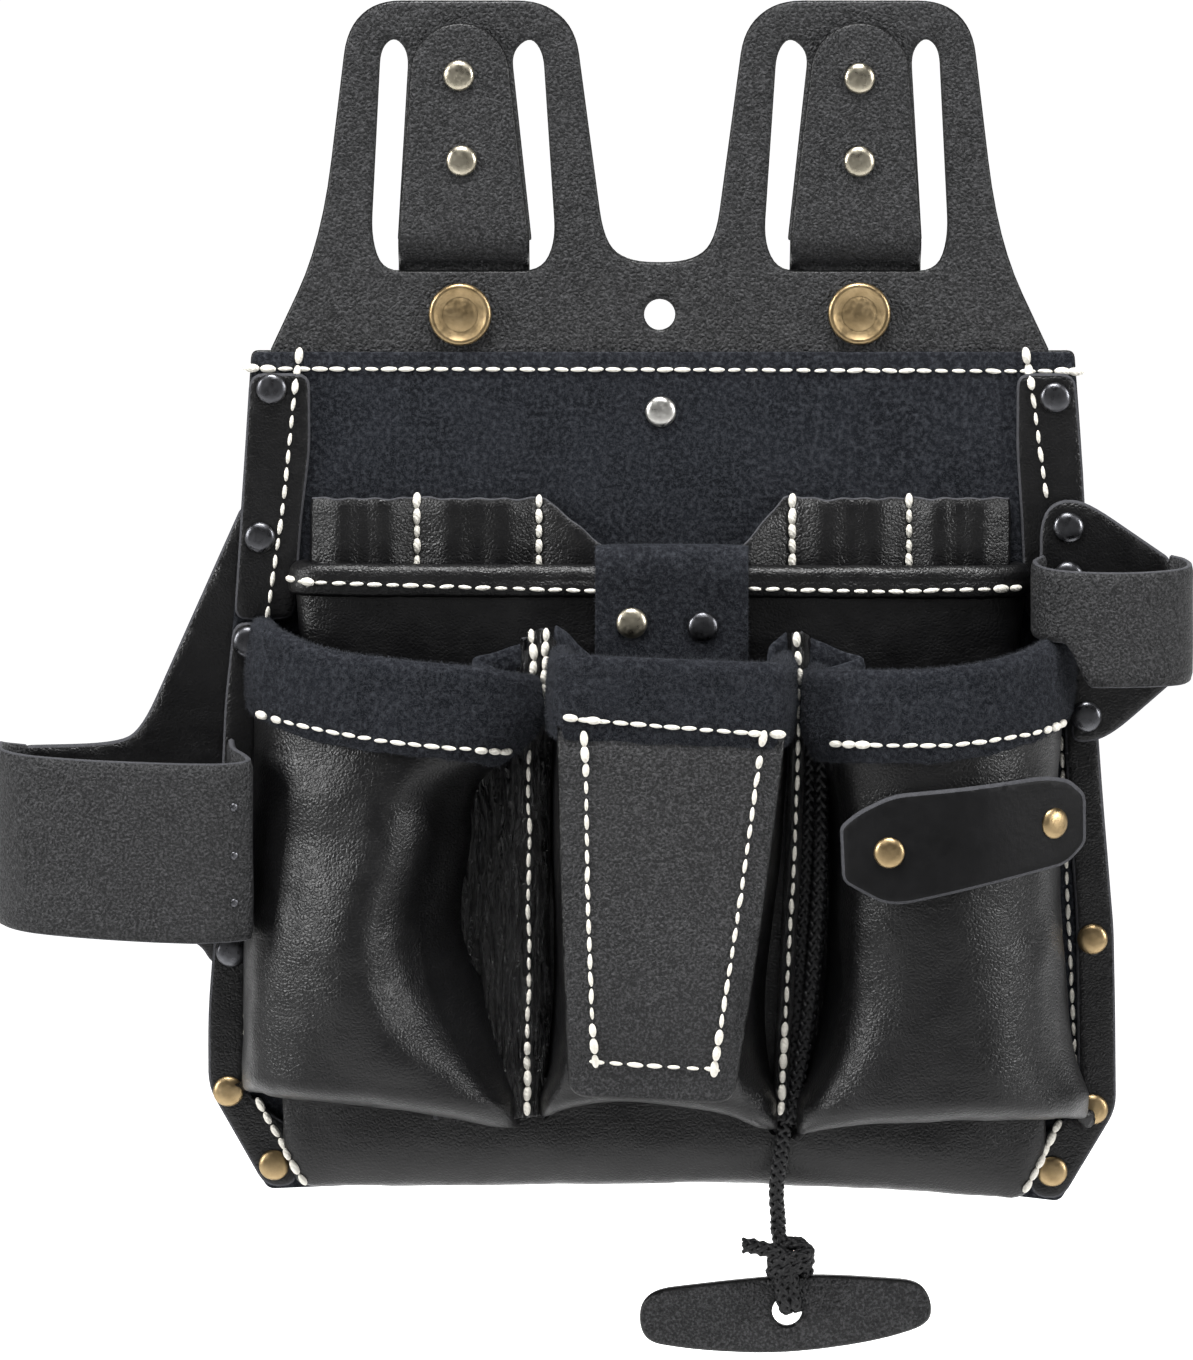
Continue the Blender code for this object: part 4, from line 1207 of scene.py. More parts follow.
def build_body():
    feet = [ring(x, z, 2.9, 16) for x, z in EDGE_RIVETS]
    lining = layer("back_lining", body_outline(0.0), LINING_LAYER, 0.0, 0.0, [PEBBLED, SMOOTH], feet,
                   3.0, 0.5, 1)
    fit(lining, "pouch", "pebbled_leather", "back_panel")
    inner = layer("yoke_tail", tail_outline(), YOKE_LAYER, 0.0, 0.0, [PEBBLED, SMOOTH], (), 4.0, 0.4, 1)
    fit(inner, "pouch", "pebbled_leather", "yoke_lower")
    suede = layer("suede_front", body_outline(0.5), SUEDE_LAYER, 0.25, 6.0, [SUEDE], (), 2.4, 0.5)
    suede = nap(suede, 2.0, 0.85, 7, POCKET_TOP_Z)
    return fit(suede, "pouch", "suede", "suede_panel")


def build_edges():
    left = [(-110.9, -24.5), (-94.6, -24.5), (-94.6, -45.0), (-97.0, -65.0), (-99.0, -91.5), (-115.5, -91.5),
            (-113.4, -62.0)]
    right = [(112.3, -24.5), (114.6, -50.0), (116.8, -91.5), (99.2, -91.5), (98.0, -65.0), (96.6, -45.0),
             (96.6, -24.5)]
    low_left = [(-107.7, -92.2), (-115.6, -92.2), (-118.0, -113.5), (-121.5, -182.0), (-123.0, -200.0),
                (-123.0, -220.0), (-107.6, -247.6), (-99.0, -247.2), (-99.0, -232.0), (-112.9, -222.0),
                (-112.9, -214.0), (-111.6, -182.0), (-109.4, -130.0)]
    low_right = [(109.3, -92.2), (110.4, -130.0), (113.6, -175.0), (114.4, -225.8), (101.5, -236.0),
                 (101.5, -250.0), (110.0, -251.2), (124.8, -226.0), (124.4, -200.0), (123.8, -176.0),
                 (120.3, -138.0), (117.2, -92.2)]
    specs = (("side_leather_left", left, "side_strip_left", "smooth_leather", 9.0),
             ("side_leather_right", right, "side_strip_right", "smooth_leather", 3.0),
             ("edge_leather_left", low_left, "edge_strip_left", "pebbled_leather", 5.0),
             ("edge_leather_right", low_right, "edge_strip_right", "pebbled_leather", 7.0))
    made = []
    for name, shape, node, finish, seed in specs:
        ob = layer(name, rounded(shape, 4.0, 4), STRIP_LAYER, 0.3, seed, [SMOOTH, EDGE], (), 1.8, 0.6, 1)
        made.append(fit(ob, "pouch", finish, node))
    return made


SUEDE_FRONT = build_body()
EDGES = build_edges()


# ---------------------------------------------------------------- pockets

POCKET_THICK = 2.3


def hermite(keys, values, at):
    """Smooth curve through rows of values at rising keys, read at many keys."""
    keys = np.asarray(keys, float)
    values = np.asarray(values, float)
    slope = np.gradient(values, keys, axis=0)
    at = np.clip(np.atleast_1d(np.asarray(at, float)), keys[0], keys[-1])
    k = np.clip(np.searchsorted(keys, at) - 1, 0, len(keys) - 2)
    h = keys[k + 1] - keys[k]
    t = (at - keys[k]) / h
    shape = (-1,) + (1,) * (values.ndim - 1)
    t = t.reshape(shape)
    h = h.reshape(shape)
    return ((2 * t ** 3 - 3 * t ** 2 + 1) * values[k] + (t ** 3 - 2 * t ** 2 + t) * h * slope[k]
            + (3 * t ** 2 - 2 * t ** 3) * values[k + 1] + (t ** 3 - t ** 2) * h * slope[k + 1])


def crumple(g, amount, size, seed, tall=1.0):
    """Moves a grid of points along its normals by smooth noise; tall stretches the folds upright."""
    n = grid_normals(g)
    out = g.copy()
    for r in range(g.shape[0]):
        for c in range(g.shape[1]):
            x, y, z = g[r, c]
            w = noise.noise(Vector((x / size + seed, y / size, z / size / tall + seed * 2.7)))
            out[r, c] += n[r, c] * w * amount
    return out


class Wall:
    """Outer face of a pocket: plan sections at several heights, a mouth line and a foot line."""

    def __init__(self, sections, mouth, foot, base, soft=9.0, power=2.5, count=90):
        self.keys = [-z for z, _ in sections]
        self.lines = np.array([spline(line, count) for _, line in sections])
        self.mouth_line = mouth
        self.foot_line = foot
        self.base = base
        self.soft = soft
        self.power = power

    def column(self, u):
        """Plan points of the wall at each section, at the share u of the way round it."""
        f = u * (self.lines.shape[1] - 1)
        i = min(int(f), self.lines.shape[1] - 2)
        return self.lines[:, i] * (1 - (f - i)) + self.lines[:, i + 1] * (f - i)

    def mouth(self, u):
        x = self.column(u)[0, 0]
        return float(hermite([q[0] for q in self.mouth_line], [q[1] for q in self.mouth_line], x)[0])

    def foot(self, x):
        return float(hermite([q[0] for q in self.foot_line], [q[1] for q in self.foot_line], x)[0])

    def at(self, u, z, off=0.0):
        """Point a given distance outside the wall."""
        e = 0.004
        p = hermite(self.keys, self.column(u), -z)[0]
        a = hermite(self.keys, self.column(max(0.0, u - e)), -z)[0]
        b = hermite(self.keys, self.column(min(1.0, u + e)), -z)[0]
        d = (b - a) / (np.linalg.norm(b - a) + 1e-9)
        return np.array((p[0] + d[1] * off, p[1] - d[0] * off, z))

    def grid(self, cols, rows=80, under=12):
        """Points over the wall from mouth to foot, with a rounded turn-in at the foot."""
        out = np.zeros((rows + under, cols, 3))
        for c in range(cols):
            u = c / (cols - 1)
            line = self.column(u)
            foot = self.foot(line[-1, 0])
            low = foot + self.soft
            z = np.linspace(self.mouth(u), low, rows)
            xy = hermite(self.keys, line, -z)
            out[:rows, c, :2] = xy
            out[:rows, c, 2] = z
            x, y = xy[-1]
            base = self.base(x)
            for k in range(under):
                phi = math.pi / 2 * (k + 1) / under
                fall = math.sin(phi) ** (2 / self.power)
                shrink = max(0.0, math.cos(phi)) ** (2 / self.power)
                out[rows + k, c] = (x, base + (y - base) * shrink, low + (foot - low) * fall)
        return out


def base_behind(x):
    """Depth that a front pocket's foot turns in to: the middle pocket's front."""
    u = min(1.0, abs(x) / 107.0)
    return -5.3 - 15.0 * (1.0 - u ** 3) ** (1.0 / 3.0)


LEFT = Wall(
    [(-94.0, [(-107.5, -5.6), (-109, -14), (-104, -27), (-92, -37), (-76, -43), (-60, -44), (-46, -41),
              (-37, -36), (-34, -28), (-34, -20.6)]),
     (-121.0, [(-108, -5.6), (-110, -15), (-105, -29), (-93, -39), (-77, -45), (-61, -46), (-47, -43),
               (-38.5, -37), (-36, -29), (-36, -20.8)]),
     (-133.0, [(-108.5, -5.6), (-110.3, -15.5), (-106, -30.5), (-94, -41), (-80, -46.8), (-71, -47.6),
               (-62.5, -43.5), (-55, -36.5), (-49, -30), (-47, -21)]),
     (-150.0, [(-109.3, -5.6), (-111, -16), (-107, -32), (-95, -42), (-82, -48.2), (-74, -49.2),
               (-66.5, -44.5), (-59.5, -36.5), (-51.5, -29), (-49.5, -21)]),
     (-172.0, [(-110.4, -5.6), (-112, -17), (-108, -34), (-98, -43.5), (-88, -49.4), (-80, -50.8),
               (-72.5, -46), (-65, -37.5), (-55, -29), (-52.5, -21)]),
     (-192.0, [(-111.4, -5.6), (-113, -18), (-109, -36), (-98, -45), (-86, -50.6), (-77, -51.2),
               (-68.5, -46.5), (-59.5, -38), (-49, -29.5), (-46.2, -21)]),
     (-208.0, [(-112.2, -5.6), (-113.6, -18), (-110, -36), (-98, -45.5), (-81, -50), (-67, -50.4),
               (-56.5, -46.5), (-49, -39.5), (-43.4, -30), (-42.4, -21)]),
     (-218.0, [(-112.6, -5.6), (-114, -17), (-111, -34), (-98, -45), (-78, -48.5), (-60, -48.6), (-47, -45.5),
               (-41.0, -38), (-38.8, -29), (-38.5, -21)])],
    [(-112, -93.0), (-104, -95.0), (-92, -98.5), (-70, -101.2), (-46, -104.0), (-33, -107.0)],
    [(-114, -219.8), (-98, -220.6), (-75, -221.6), (-55, -224.8), (-45, -227.0), (-38, -228.8)], base_behind)

CENTRE = Wall(
    [(-98.0, [(-28, -20.4), (-27.6, -36), (-26.4, -49.5), (-22, -53.8), (3, -55.4), (28, -53.8),
              (32.6, -49.5), (34.4, -36), (35.4, -20.4)]),
     (-150.0, [(-29.4, -20.4), (-28.4, -36), (-26.6, -50), (-22.4, -54.2), (1.5, -55.4), (24.6, -54.2),
               (29, -50), (31.6, -36), (33, -20.4)]),
     (-203.0, [(-29.4, -20.4), (-28, -36), (-25.4, -49.6), (-21, -53.4), (-2, -54.4), (16.8, -53.4),
               (21, -49.6), (25.6, -36), (28.6, -20.4)]),
     (-212.0, [(-30.4, -20.4), (-29.6, -35), (-27.6, -46.5), (-22, -50.6), (-2, -51.4), (17, -50.6),
               (23, -46.2), (28, -35), (29.6, -20.4)]),
     (-219.0, [(-32, -20.4), (-32.4, -33), (-31, -42.6), (-26, -46), (-2, -47), (18, -46), (27, -42),
               (31.6, -33), (31, -20.4)])],
    [(-32, -98.4), (0, -99.6), (37, -101.2)],
    [(-33, -225.2), (-27, -222.4), (-18, -220.2), (6.5, -221.0), (19, -223.6), (27, -227.4), (33, -229.0)],
    base_behind, 6.5)

RIGHT = Wall(
    [(-96.0, [(41.5, -20.8), (40.6, -30), (42, -40), (50, -46.5), (64, -51), (80, -51), (94, -46), (104, -36),
              (109.6, -22), (110, -5.6)]),
     (-121.0, [(42, -20.8), (41.2, -30), (43, -40.5), (51, -47.5), (65, -52), (80, -52), (93.5, -46.5),
               (103, -36.5), (108.6, -22), (109, -5.6)]),
     (-131.0, [(44.6, -20.8), (45.4, -30), (47, -40.5), (53.5, -47.5), (66, -52.4), (80, -52.4), (93, -47.3),
               (102.5, -37), (108, -22), (108.6, -5.6)]),
     (-150.0, [(45.4, -20.8), (47.4, -30), (49.2, -40.5), (55.5, -48), (68, -53), (80, -53), (93, -48),
               (102.6, -38), (108, -22), (108.8, -5.6)]),
     (-175.0, [(45.5, -20.9), (47.5, -30), (49.4, -40.5), (56, -48.6), (68, -54), (82, -54), (94, -48.5),
               (103, -38), (108.6, -22), (109.5, -5.6)]),
     (-195.0, [(44, -21), (45.6, -30.5), (48, -41), (55, -49), (68, -54), (83, -54), (96, -48.5),
               (104.6, -37.5), (110, -22), (110.8, -5.6)]),
     (-210.0, [(41, -21), (42, -31), (44.5, -42), (52, -49.5), (67, -53.5), (84, -53.5), (98, -47.5),
               (108, -36), (113, -21), (112.5, -5.6)]),
     (-220.0, [(37.6, -21), (37.2, -31), (39.6, -42), (49.5, -49), (66, -52.5), (84, -52.5), (99, -46.5),
               (111.4, -35), (117, -20), (114.5, -5.6)])],
    [(40, -104.5), (52, -103.6), (72, -102.8), (92, -100.4), (104, -97.4), (110, -95.0)],
    [(36, -230.4), (52, -226.8), (67, -225.2), (83, -224.4), (100, -225.6), (117, -228.6)], base_behind)

MIDDLE = Wall(
    [(-78.0, [(-97, -5.6), (-98.6, -12), (-93, -17.4), (-72, -19.4), (0, -19.8), (72, -19.4), (93, -17.4),
              (98.8, -12), (97.4, -5.6)]),
     (-205.0, [(-97, -5.6), (-98.6, -12), (-93, -17.4), (-72, -19.4), (0, -19.8), (72, -19.4), (93, -17.4),
               (98.8, -12), (97.4, -5.6)]),
     (-222.0, [(-107.4, -5.6), (-108.0, -9), (-95, -14.6), (-70, -19.4), (0, -20.2), (70, -19.4), (96, -14.6),
               (109.4, -9), (109.0, -5.6)])],
    [(-99, -78.4), (0, -78.6), (99, -79.0)],
    [(-108, -227.0), (-105, -232.0), (-102, -239.0), (-100.2, -243.6), (-98.4, -246.2), (-96, -247.0),
     (-90, -247.1), (-80, -247.2), (0, -246.4), (54, -247.4), (82, -249.4), (92, -250.2), (98, -250.4),
     (100.8, -249.0), (103.6, -243.0), (106.5, -236.0), (109.6, -229.0)],
    lambda x: -7.8, 16.0, 2.1, 140)


def build_pocket(name, wall, node, seed, cols=120, rough=1.0):
    """Pocket wall of soft leather, crumpled once in wide folds and once in small ones."""
    g = wall.grid(cols)
    g = crumple(g, 1.1 * rough, 34.0, seed)
    g = crumple(g, 0.40 * rough, 11.0, seed + 3.0)
    mid = g.reshape(-1, 3).mean(axis=0) + np.array((0.0, 12.0, 0.0))
    return fit(shell(name, g, POCKET_THICK, [SMOOTH, EDGE], mid, 1), "pouch", "smooth_leather", node)


def build_binding(name, wall, drop, inner, leg, seed, mats, cols=130, trim=0.012, wave=0.9, puff=0.5,
                  rise=1.0):
    """Strip folded over a pocket's mouth: a U section carried round the rim, soft and a little uneven.

    It hangs `drop` in front and `inner` behind, is `leg` thick, and starts and ends `trim` of the way in."""
    t = 2.4
    gap = 0.35
    sections = []
    for c in range(cols):
        u = trim + (1.0 - trim - trim) * c / (cols - 1)
        z = wall.mouth(u)
        x = wall.column(u)[0, 0]
        low = (z - drop - wave * noise.noise(Vector((x * 0.09, seed, 0.0)))
               - 0.35 * noise.noise(Vector((x * 0.5, seed, 3.0))))
        out = gap + leg
        back = -(t + gap + leg)
        loop = [(gap, low + 0.5), (gap + leg * 0.5, low)]
        steps = 12
        for k in range(steps + 1):
            f = k / steps
            bulge = puff * math.sin(math.pi * min(1.0, f * 1.1))
            loop.append((out + bulge, low + 0.7 + (z - low - 1.0) * f))
        mid = (out + back) / 2
        half = (out - back) / 2
        for k in range(1, 8):
            a = math.pi * k / 8
            loop.append((mid + half * math.cos(a), z + half * rise * math.sin(a)))
        loop += [(back, z - 0.5), (back, z - inner * 0.5), (back, z - inner), (back + leg, z - inner),
                 (-(t + gap), z - inner * 0.5), (-(t + gap), z + 0.2), (gap, z + 0.2), (gap, z - drop * 0.5)]
        ring_points = []
        for off, h in loop:
            w = 0.0
            if off > gap or off < -(t + gap):
                w = 0.55 * noise.noise(Vector((x * 0.11 + seed, h * 0.11, off * 0.2)))
            ring_points.append(tuple(wall.at(u, min(h, z), off + w * (1 if off > 0 else -1))[:2]) + (h,))
        sections.append(ring_points)
    return loft(name, sections, mats)


def build_front_pockets():
    middle = build_pocket("middle_pocket", MIDDLE, "mid_pocket", 2.0, 150, 0.7)
    left = build_pocket("left_front_pocket", LEFT, "left_pocket", 11.0)
    centre = build_pocket("centre_front_pocket", CENTRE, "centre_pocket", 5.0, 120, 0.45)
    right = build_pocket("right_front_pocket", RIGHT, "right_pocket", 17.0)
    roll = build_binding("pocket_roll", MIDDLE, 5.4, 5.0, 1.2, 2.0, [SMOOTH, EDGE], cols=170, trim=0.004,
                         wave=0.2, puff=0.35, rise=1.25)
    fit(roll, "pouch", "smooth_leather", "mid_pocket_roll")
    made = {"middle": middle, "left": left, "centre": centre, "right": right, "roll": roll}
    for key, wall, drop, seed in (("left", LEFT, 21.6, 4), ("centre", CENTRE, 20.0, 8),
                                  ("right", RIGHT, 21.6, 12)):
        rim = build_binding(key + "_suede_rim", wall, drop, 10.0, 1.7, float(seed), [SUEDE])
        rim = nap(rim, 3.6, 1.35, seed)
        made[key + "_rim"] = fit(rim, "pouch", "suede", key + "_binding")
    return made


POCKETS = build_front_pockets()


# ---------------------------------------------------------------- patch, label and suede tab

class Front:
    """Height field of finished pieces, as met from the front."""

    def __init__(self, *pieces):
        self.trees = [tree_of(o) for o in pieces]

    def y(self, x, z):
        hit = first_hit(self.trees, x, z)
        return None if hit is None else hit[0].y / MM


def build_patch():
    left = [(-27.6, -114.2), (-27.0, -150.0), (-25.6, -190.0), (-24.6, -214.6)]
    right = [(19.6, -216.6), (24.0, -190.0), (29.4, -150.0), (33.4, -116.4)]
    shape = rounded(left + right, [0.5, 40.0, 40.0, 5.0, 5.0, 40.0, 40.0, 0.5], 5)
    field = Front(POCKETS["centre"])

    lie_z = -207.0  # the patch follows the pocket down to here, and leans in below
    rim_z = -122.0  # above this it tucks under the rim

    def place(x, z, d):
        inner = min(max(x, -24.0), 19.0 + 10.0 * (z + 216.0) / 98.0)
        y = field.y(inner, max(z, lie_z))
        y = -53.0 if y is None else y
        bow = 0.020 * (x - inner) ** 2
        sink = 0.10 * max(0.0, lie_z - z)
        tuck = 0.9 * min(1.0, max(0.0, (z - rim_z) / 4.0))
        return (x, y - 2.6 + tuck + d + bow + sink, z)

    ob = blank("centre_patch_leather", shape, place, 2.2, [PEBBLED, SMOOTH], (), 1.6, 0.7, 1)
    return fit(ob, "pouch", "pebbled_leather", "centre_patch")


LABEL_LINE = [(44.0, -51.6), (52.0, -54.6), (60.0, -56.2), (70.0, -57.0), (80.0, -56.9), (88.0, -55.0),
              (96.0, -51.2), (104.0, -46.2), (114.5, -39.2)]


def label_y(x):
    """Depth of the label's front, bent round the right pocket."""
    return float(hermite([q[0] for q in LABEL_LINE], [q[1] for q in LABEL_LINE], x)[0])


def build_label():
    shape = [(47.9, -142.0), (52.4, -137.8), (61.7, -132.9), (84.0, -130.6), (103.0, -129.1),
             (109.6, -130.6), (114.2, -134.9), (114.4, -148.2), (109.2, -153.4), (88.7, -157.0),
             (64.5, -162.5), (58.9, -162.0), (48.6, -156.6)]
    shape = rounded(shape, [1.6, 3.0, 4.0, 20.0, 5.0, 2.0, 2.0, 2.0, 3.0, 16.0, 4.0, 2.5, 2.0], 5)

    def place(x, z, d):
        return (x, label_y(x) + d + 0.25 * noise.noise(Vector((x * 0.05, z * 0.05, 3.0))), z)

    ob = blank("side_label", shape, place, 2.6, [LABEL, EDGE], (), 1.4, 0.8, 1)
    fit(ob, "pouch", "label_leather", "label_patch")
    spots = []
    ways = []
    for x, z in ((61.0, -148.4), (105.6, -142.0)):
        slope = (label_y(x + 1.0) - label_y(x - 1.0)) / 2.0
        spots.append((x * MM, label_y(x) * MM, z * MM))
        ways.append(tuple(Vector((slope, -1.0, 0.0)).normalized()))
    rivets = set_heads("label_rivets", "pouch", "antique_brass", spots, ways, RIVET)
    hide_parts("rivet_label_left", "rivet_label_right")


def build_tab():
    line = [(-13.6, -84.0), (-13.8, -77.0), (-15.0, -72.6), (-18.4, -70.4), (-21.9, -72.4), (-23.0, -76.6),
            (-22.8, -84.0), (-22.6, -106.0)]
    thick = 1.6
    place, run = along(line, thick)
    shape = rounded([(-17.2, -0.5), (23.4, -0.5), (23.8, -18.0), (23.8, -run + 0.3), (-17.4, -run + 0.3),
                     (-17.4, -18.0)], [1.0, 1.0, 0.0, 1.0, 1.0, 0.0])

    def soft(x, s, d):
        q = place(x, s, d)
        w = 0.5 * noise.noise(Vector((x * 0.06, s * 0.06, 9.0)))
        droop = 0.35 * abs((x - 3.0) / 20.0) ** 4
        return (q[0], q[1] + w * 0.7, q[2] - droop * (1.0 if q[2] > -75.0 else 0.0))

    ob = blank("suede_tab_leather", shape, soft, thick, [SUEDE], (), 1.5, 0.4)
    ob = nap(ob, 3.2, 0.9, 21)
    fit(ob, "pouch", "suede", "suede_tab")
    set_rivets("tab_rivet_bright", "pouch", "pale_nickel", ["rivet_tab_left"], RIVET)
    set_rivets("tab_rivet_dark", "pouch", "gunmetal", ["rivet_tab_right"], RIVET)


# ---------------------------------------------------------------- pen strips, valleys and gussets

def pen_path(seams):
    """Plan line through the seams, standing off between them in two soft rolls."""
    out = []
    for a, b in zip(seams, seams[1:]):
        for k in range(24):
            t = k / 24
            swell = math.sin(math.pi * t)
            out.append((a + (b - a) * t, -6.4 - 4.2 * swell ** 0.7 + 1.1 * math.cos(4 * math.pi * t) * swell))
    out.append((seams[-1], -6.4))
    return out


def pen_top(path, gap, slope_at, end_at):
    """Top edge of a pen strip as a function of the run 0..1, falling away towards the tab."""
    xs = spline(path, max(8, int(run_length(path) / gap)))[:, 0]

    def top(f):
        x = float(np.interp(f, np.linspace(0, 1, len(xs)), xs))
        t = min(1.0, max(0.0, (x - slope_at) / (end_at - slope_at)))
        return (-58.2 - 14.0 * t - 0.5 * noise.noise(Vector((x * 0.12, 4.0, 0.0)))
                - 0.4 * math.sin(x * 0.45) ** 2)
    return top


def build_pen_strips():
    left = pen_path([-94.2, -65.9, -32.7]) + [(-28.5, -8.2), (-23.5, -9.8), (-18.5, -10.6), (-14.0, -11.4)]
    right = ([(20.8, -11.6), (21.2, -13.2), (24.0, -13.0), (28.0, -10.4), (32.0, -8.0)]
             + pen_path([35.9, 67.5, 94.6]))
    made = []
    for side, path, slope_at, end_at in (("left", left, -31.0, -14.0), ("right", right, 33.6, 21.0)):
        ob = band("pen_slots_" + side, path, pen_top(path, 0.9, slope_at, end_at), lambda f: -88.0, 1.5,
                  [SMOOTH, EDGE], 0.9, 5.0, 1)
        made.append(fit(ob, "pouch", "smooth_leather", "pen_strip_" + side))
    return made


def valley_sheet(name, heights, centre, across, inward, wrinkle, seed, rows, cols):
    """Sheet down a valley: offsets and depths across it, a centre line x(z), and upright wrinkles."""
    offs = spline(across, cols)
    z_keys = [-q[0] for q in centre]
    xs = [q[1] for q in centre]
    top, low = heights
    g = np.zeros((rows, cols, 3))
    for r in range(rows):
        for c in range(cols):
            off, y = offs[c]
            z0 = top(off)
            z = z0 + (low(off) - z0) * r / (rows - 1)
            x = float(np.interp(-z, z_keys, xs)) + off
            away = min(1.0, abs(off) / 3.0)
            drift = 1.4 * noise.noise(Vector((off / 7.0, z / 14.0, seed + 9.0)))
            fold = noise.noise(Vector(((off + drift) / 2.0 + seed, z / 20.0, seed)))
            fine = noise.noise(Vector(((off + drift) / 1.2 + seed, z / 4.5, seed + 5.0)))
            w = (1.0 - abs(fold) * 3.0) * wrinkle * (0.15 + 0.85 * away) + fine * 0.55 * wrinkle
            g[r, c] = (x + 0.25 * fine, y - w, z)
    return shell(name, g, 1.6, [CREASED, EDGE], inward, 1)


def build_valleys():
    left = valley_sheet(
        "left_valley_leather",
        (lambda off: -91.2 - 1.6 * min(3.0, abs((off + 1.5) / 3.0)) ** 2 if off > -6.5 else -112.0,
         lambda off: -224.0 + 0.1 * off),
        [(-91, -30.6), (-104, -31.2), (-111, -32.0), (-126, -35.2), (-170, -35.6), (-224, -35.9)],
        [(-24, -21.8), (-18, -24.6), (-12, -27.0), (-7, -29.6), (-3.5, -31.2), (0, -32.6), (2.0, -31.6),
         (3.8, -29.6), (5.2, -26.4), (5.8, -21.6)],
        (-40, 0, -160), 1.7, 3.0, 190, 96)
    right = valley_sheet(
        "right_valley_leather",
        (lambda off: -92.0 - 1.2 * abs(off / 2.0) ** 2 if off < 3.0 else -101.0,
         lambda off: -225.0),
        [(-91, 37.7), (-110, 37.7), (-117, 37.3), (-153, 36.2), (-182, 34.6), (-221, 32.7), (-226, 32.5)],
        [(-2.2, -21.6), (-1.9, -27.5), (-1.2, -31.0), (0, -32.0), (1.3, -31.0), (2.0, -27.0), (3.0, -22.8),
         (8, -21.9), (12, -21.6)],
        (40, 0, -160), 0.45, 8.0, 150, 60)
    strand = [(42.9, -29.4, -112.0), (43.3, -29.2, -124.0), (43.5, -29.0, -140.0), (43.2, -28.8, -160.0),
              (41.8, -28.6, -182.0), (39.8, -28.6, -200.0), (37.6, -28.8, -214.0), (35.6, -29.0, -226.0)]
    fit(braid("valley_cord_braid", strand), "pouch", "cord")
    folds = (("left_gusset_fold", [(-34.2, -33.4), (-41, -31.0), (-47, -27.8), (-49.6, -25.2), (-48.4, -22.8),
                                   (-42, -21.8), (-33.2, -21.6)],
              [-106.7, -104.6, -101.9, -100.2, -99.2, -97.2, -95.8]),
             ("left_gusset_tip", [(-28.0, -31.0), (-26.0, -29.6), (-22.0, -26.6), (-18.6, -24.4)],
              [-90.6, -93.0, -96.6, -99.6]),
             ("right_gusset_fold", [(41.8, -32.4), (48, -29.8), (52.6, -26.6), (54.2, -24.4), (52.2, -23.0),
                                    (46, -22.3), (39.6, -22.0)],
              [-102.4, -101.8, -100.8, -99.9, -98.8, -96.6, -94.6]),
             ("right_gusset_tip", [(36.4, -30.4), (32.6, -30.0), (30.2, -27.4), (30.6, -24.4), (34.0, -22.6)],
              [-101.5, -100.6, -98.4, -96.0, -93.4]))
    made = []
    for name, path, tops in folds:
        run = np.linspace(0, 1, len(tops))
        made.append(band(name, path, lambda f, r=run, t=tops: float(hermite(r, t, f)[0]), lambda f: -118.0,
                         2.4, [SUEDE], 0.7, 2.0))
    fit(merge("left_gusset_folds", made[:2]), "pouch", "pebbled_leather", "gusset_left")
    fit(merge("right_gusset_folds", made[2:]), "pouch", "pebbled_leather", "gusset_right")
    for ob in (left, right):
        fit(ob, "pouch", "smooth_leather")
    return left, right


# ---------------------------------------------------------------- tool loops

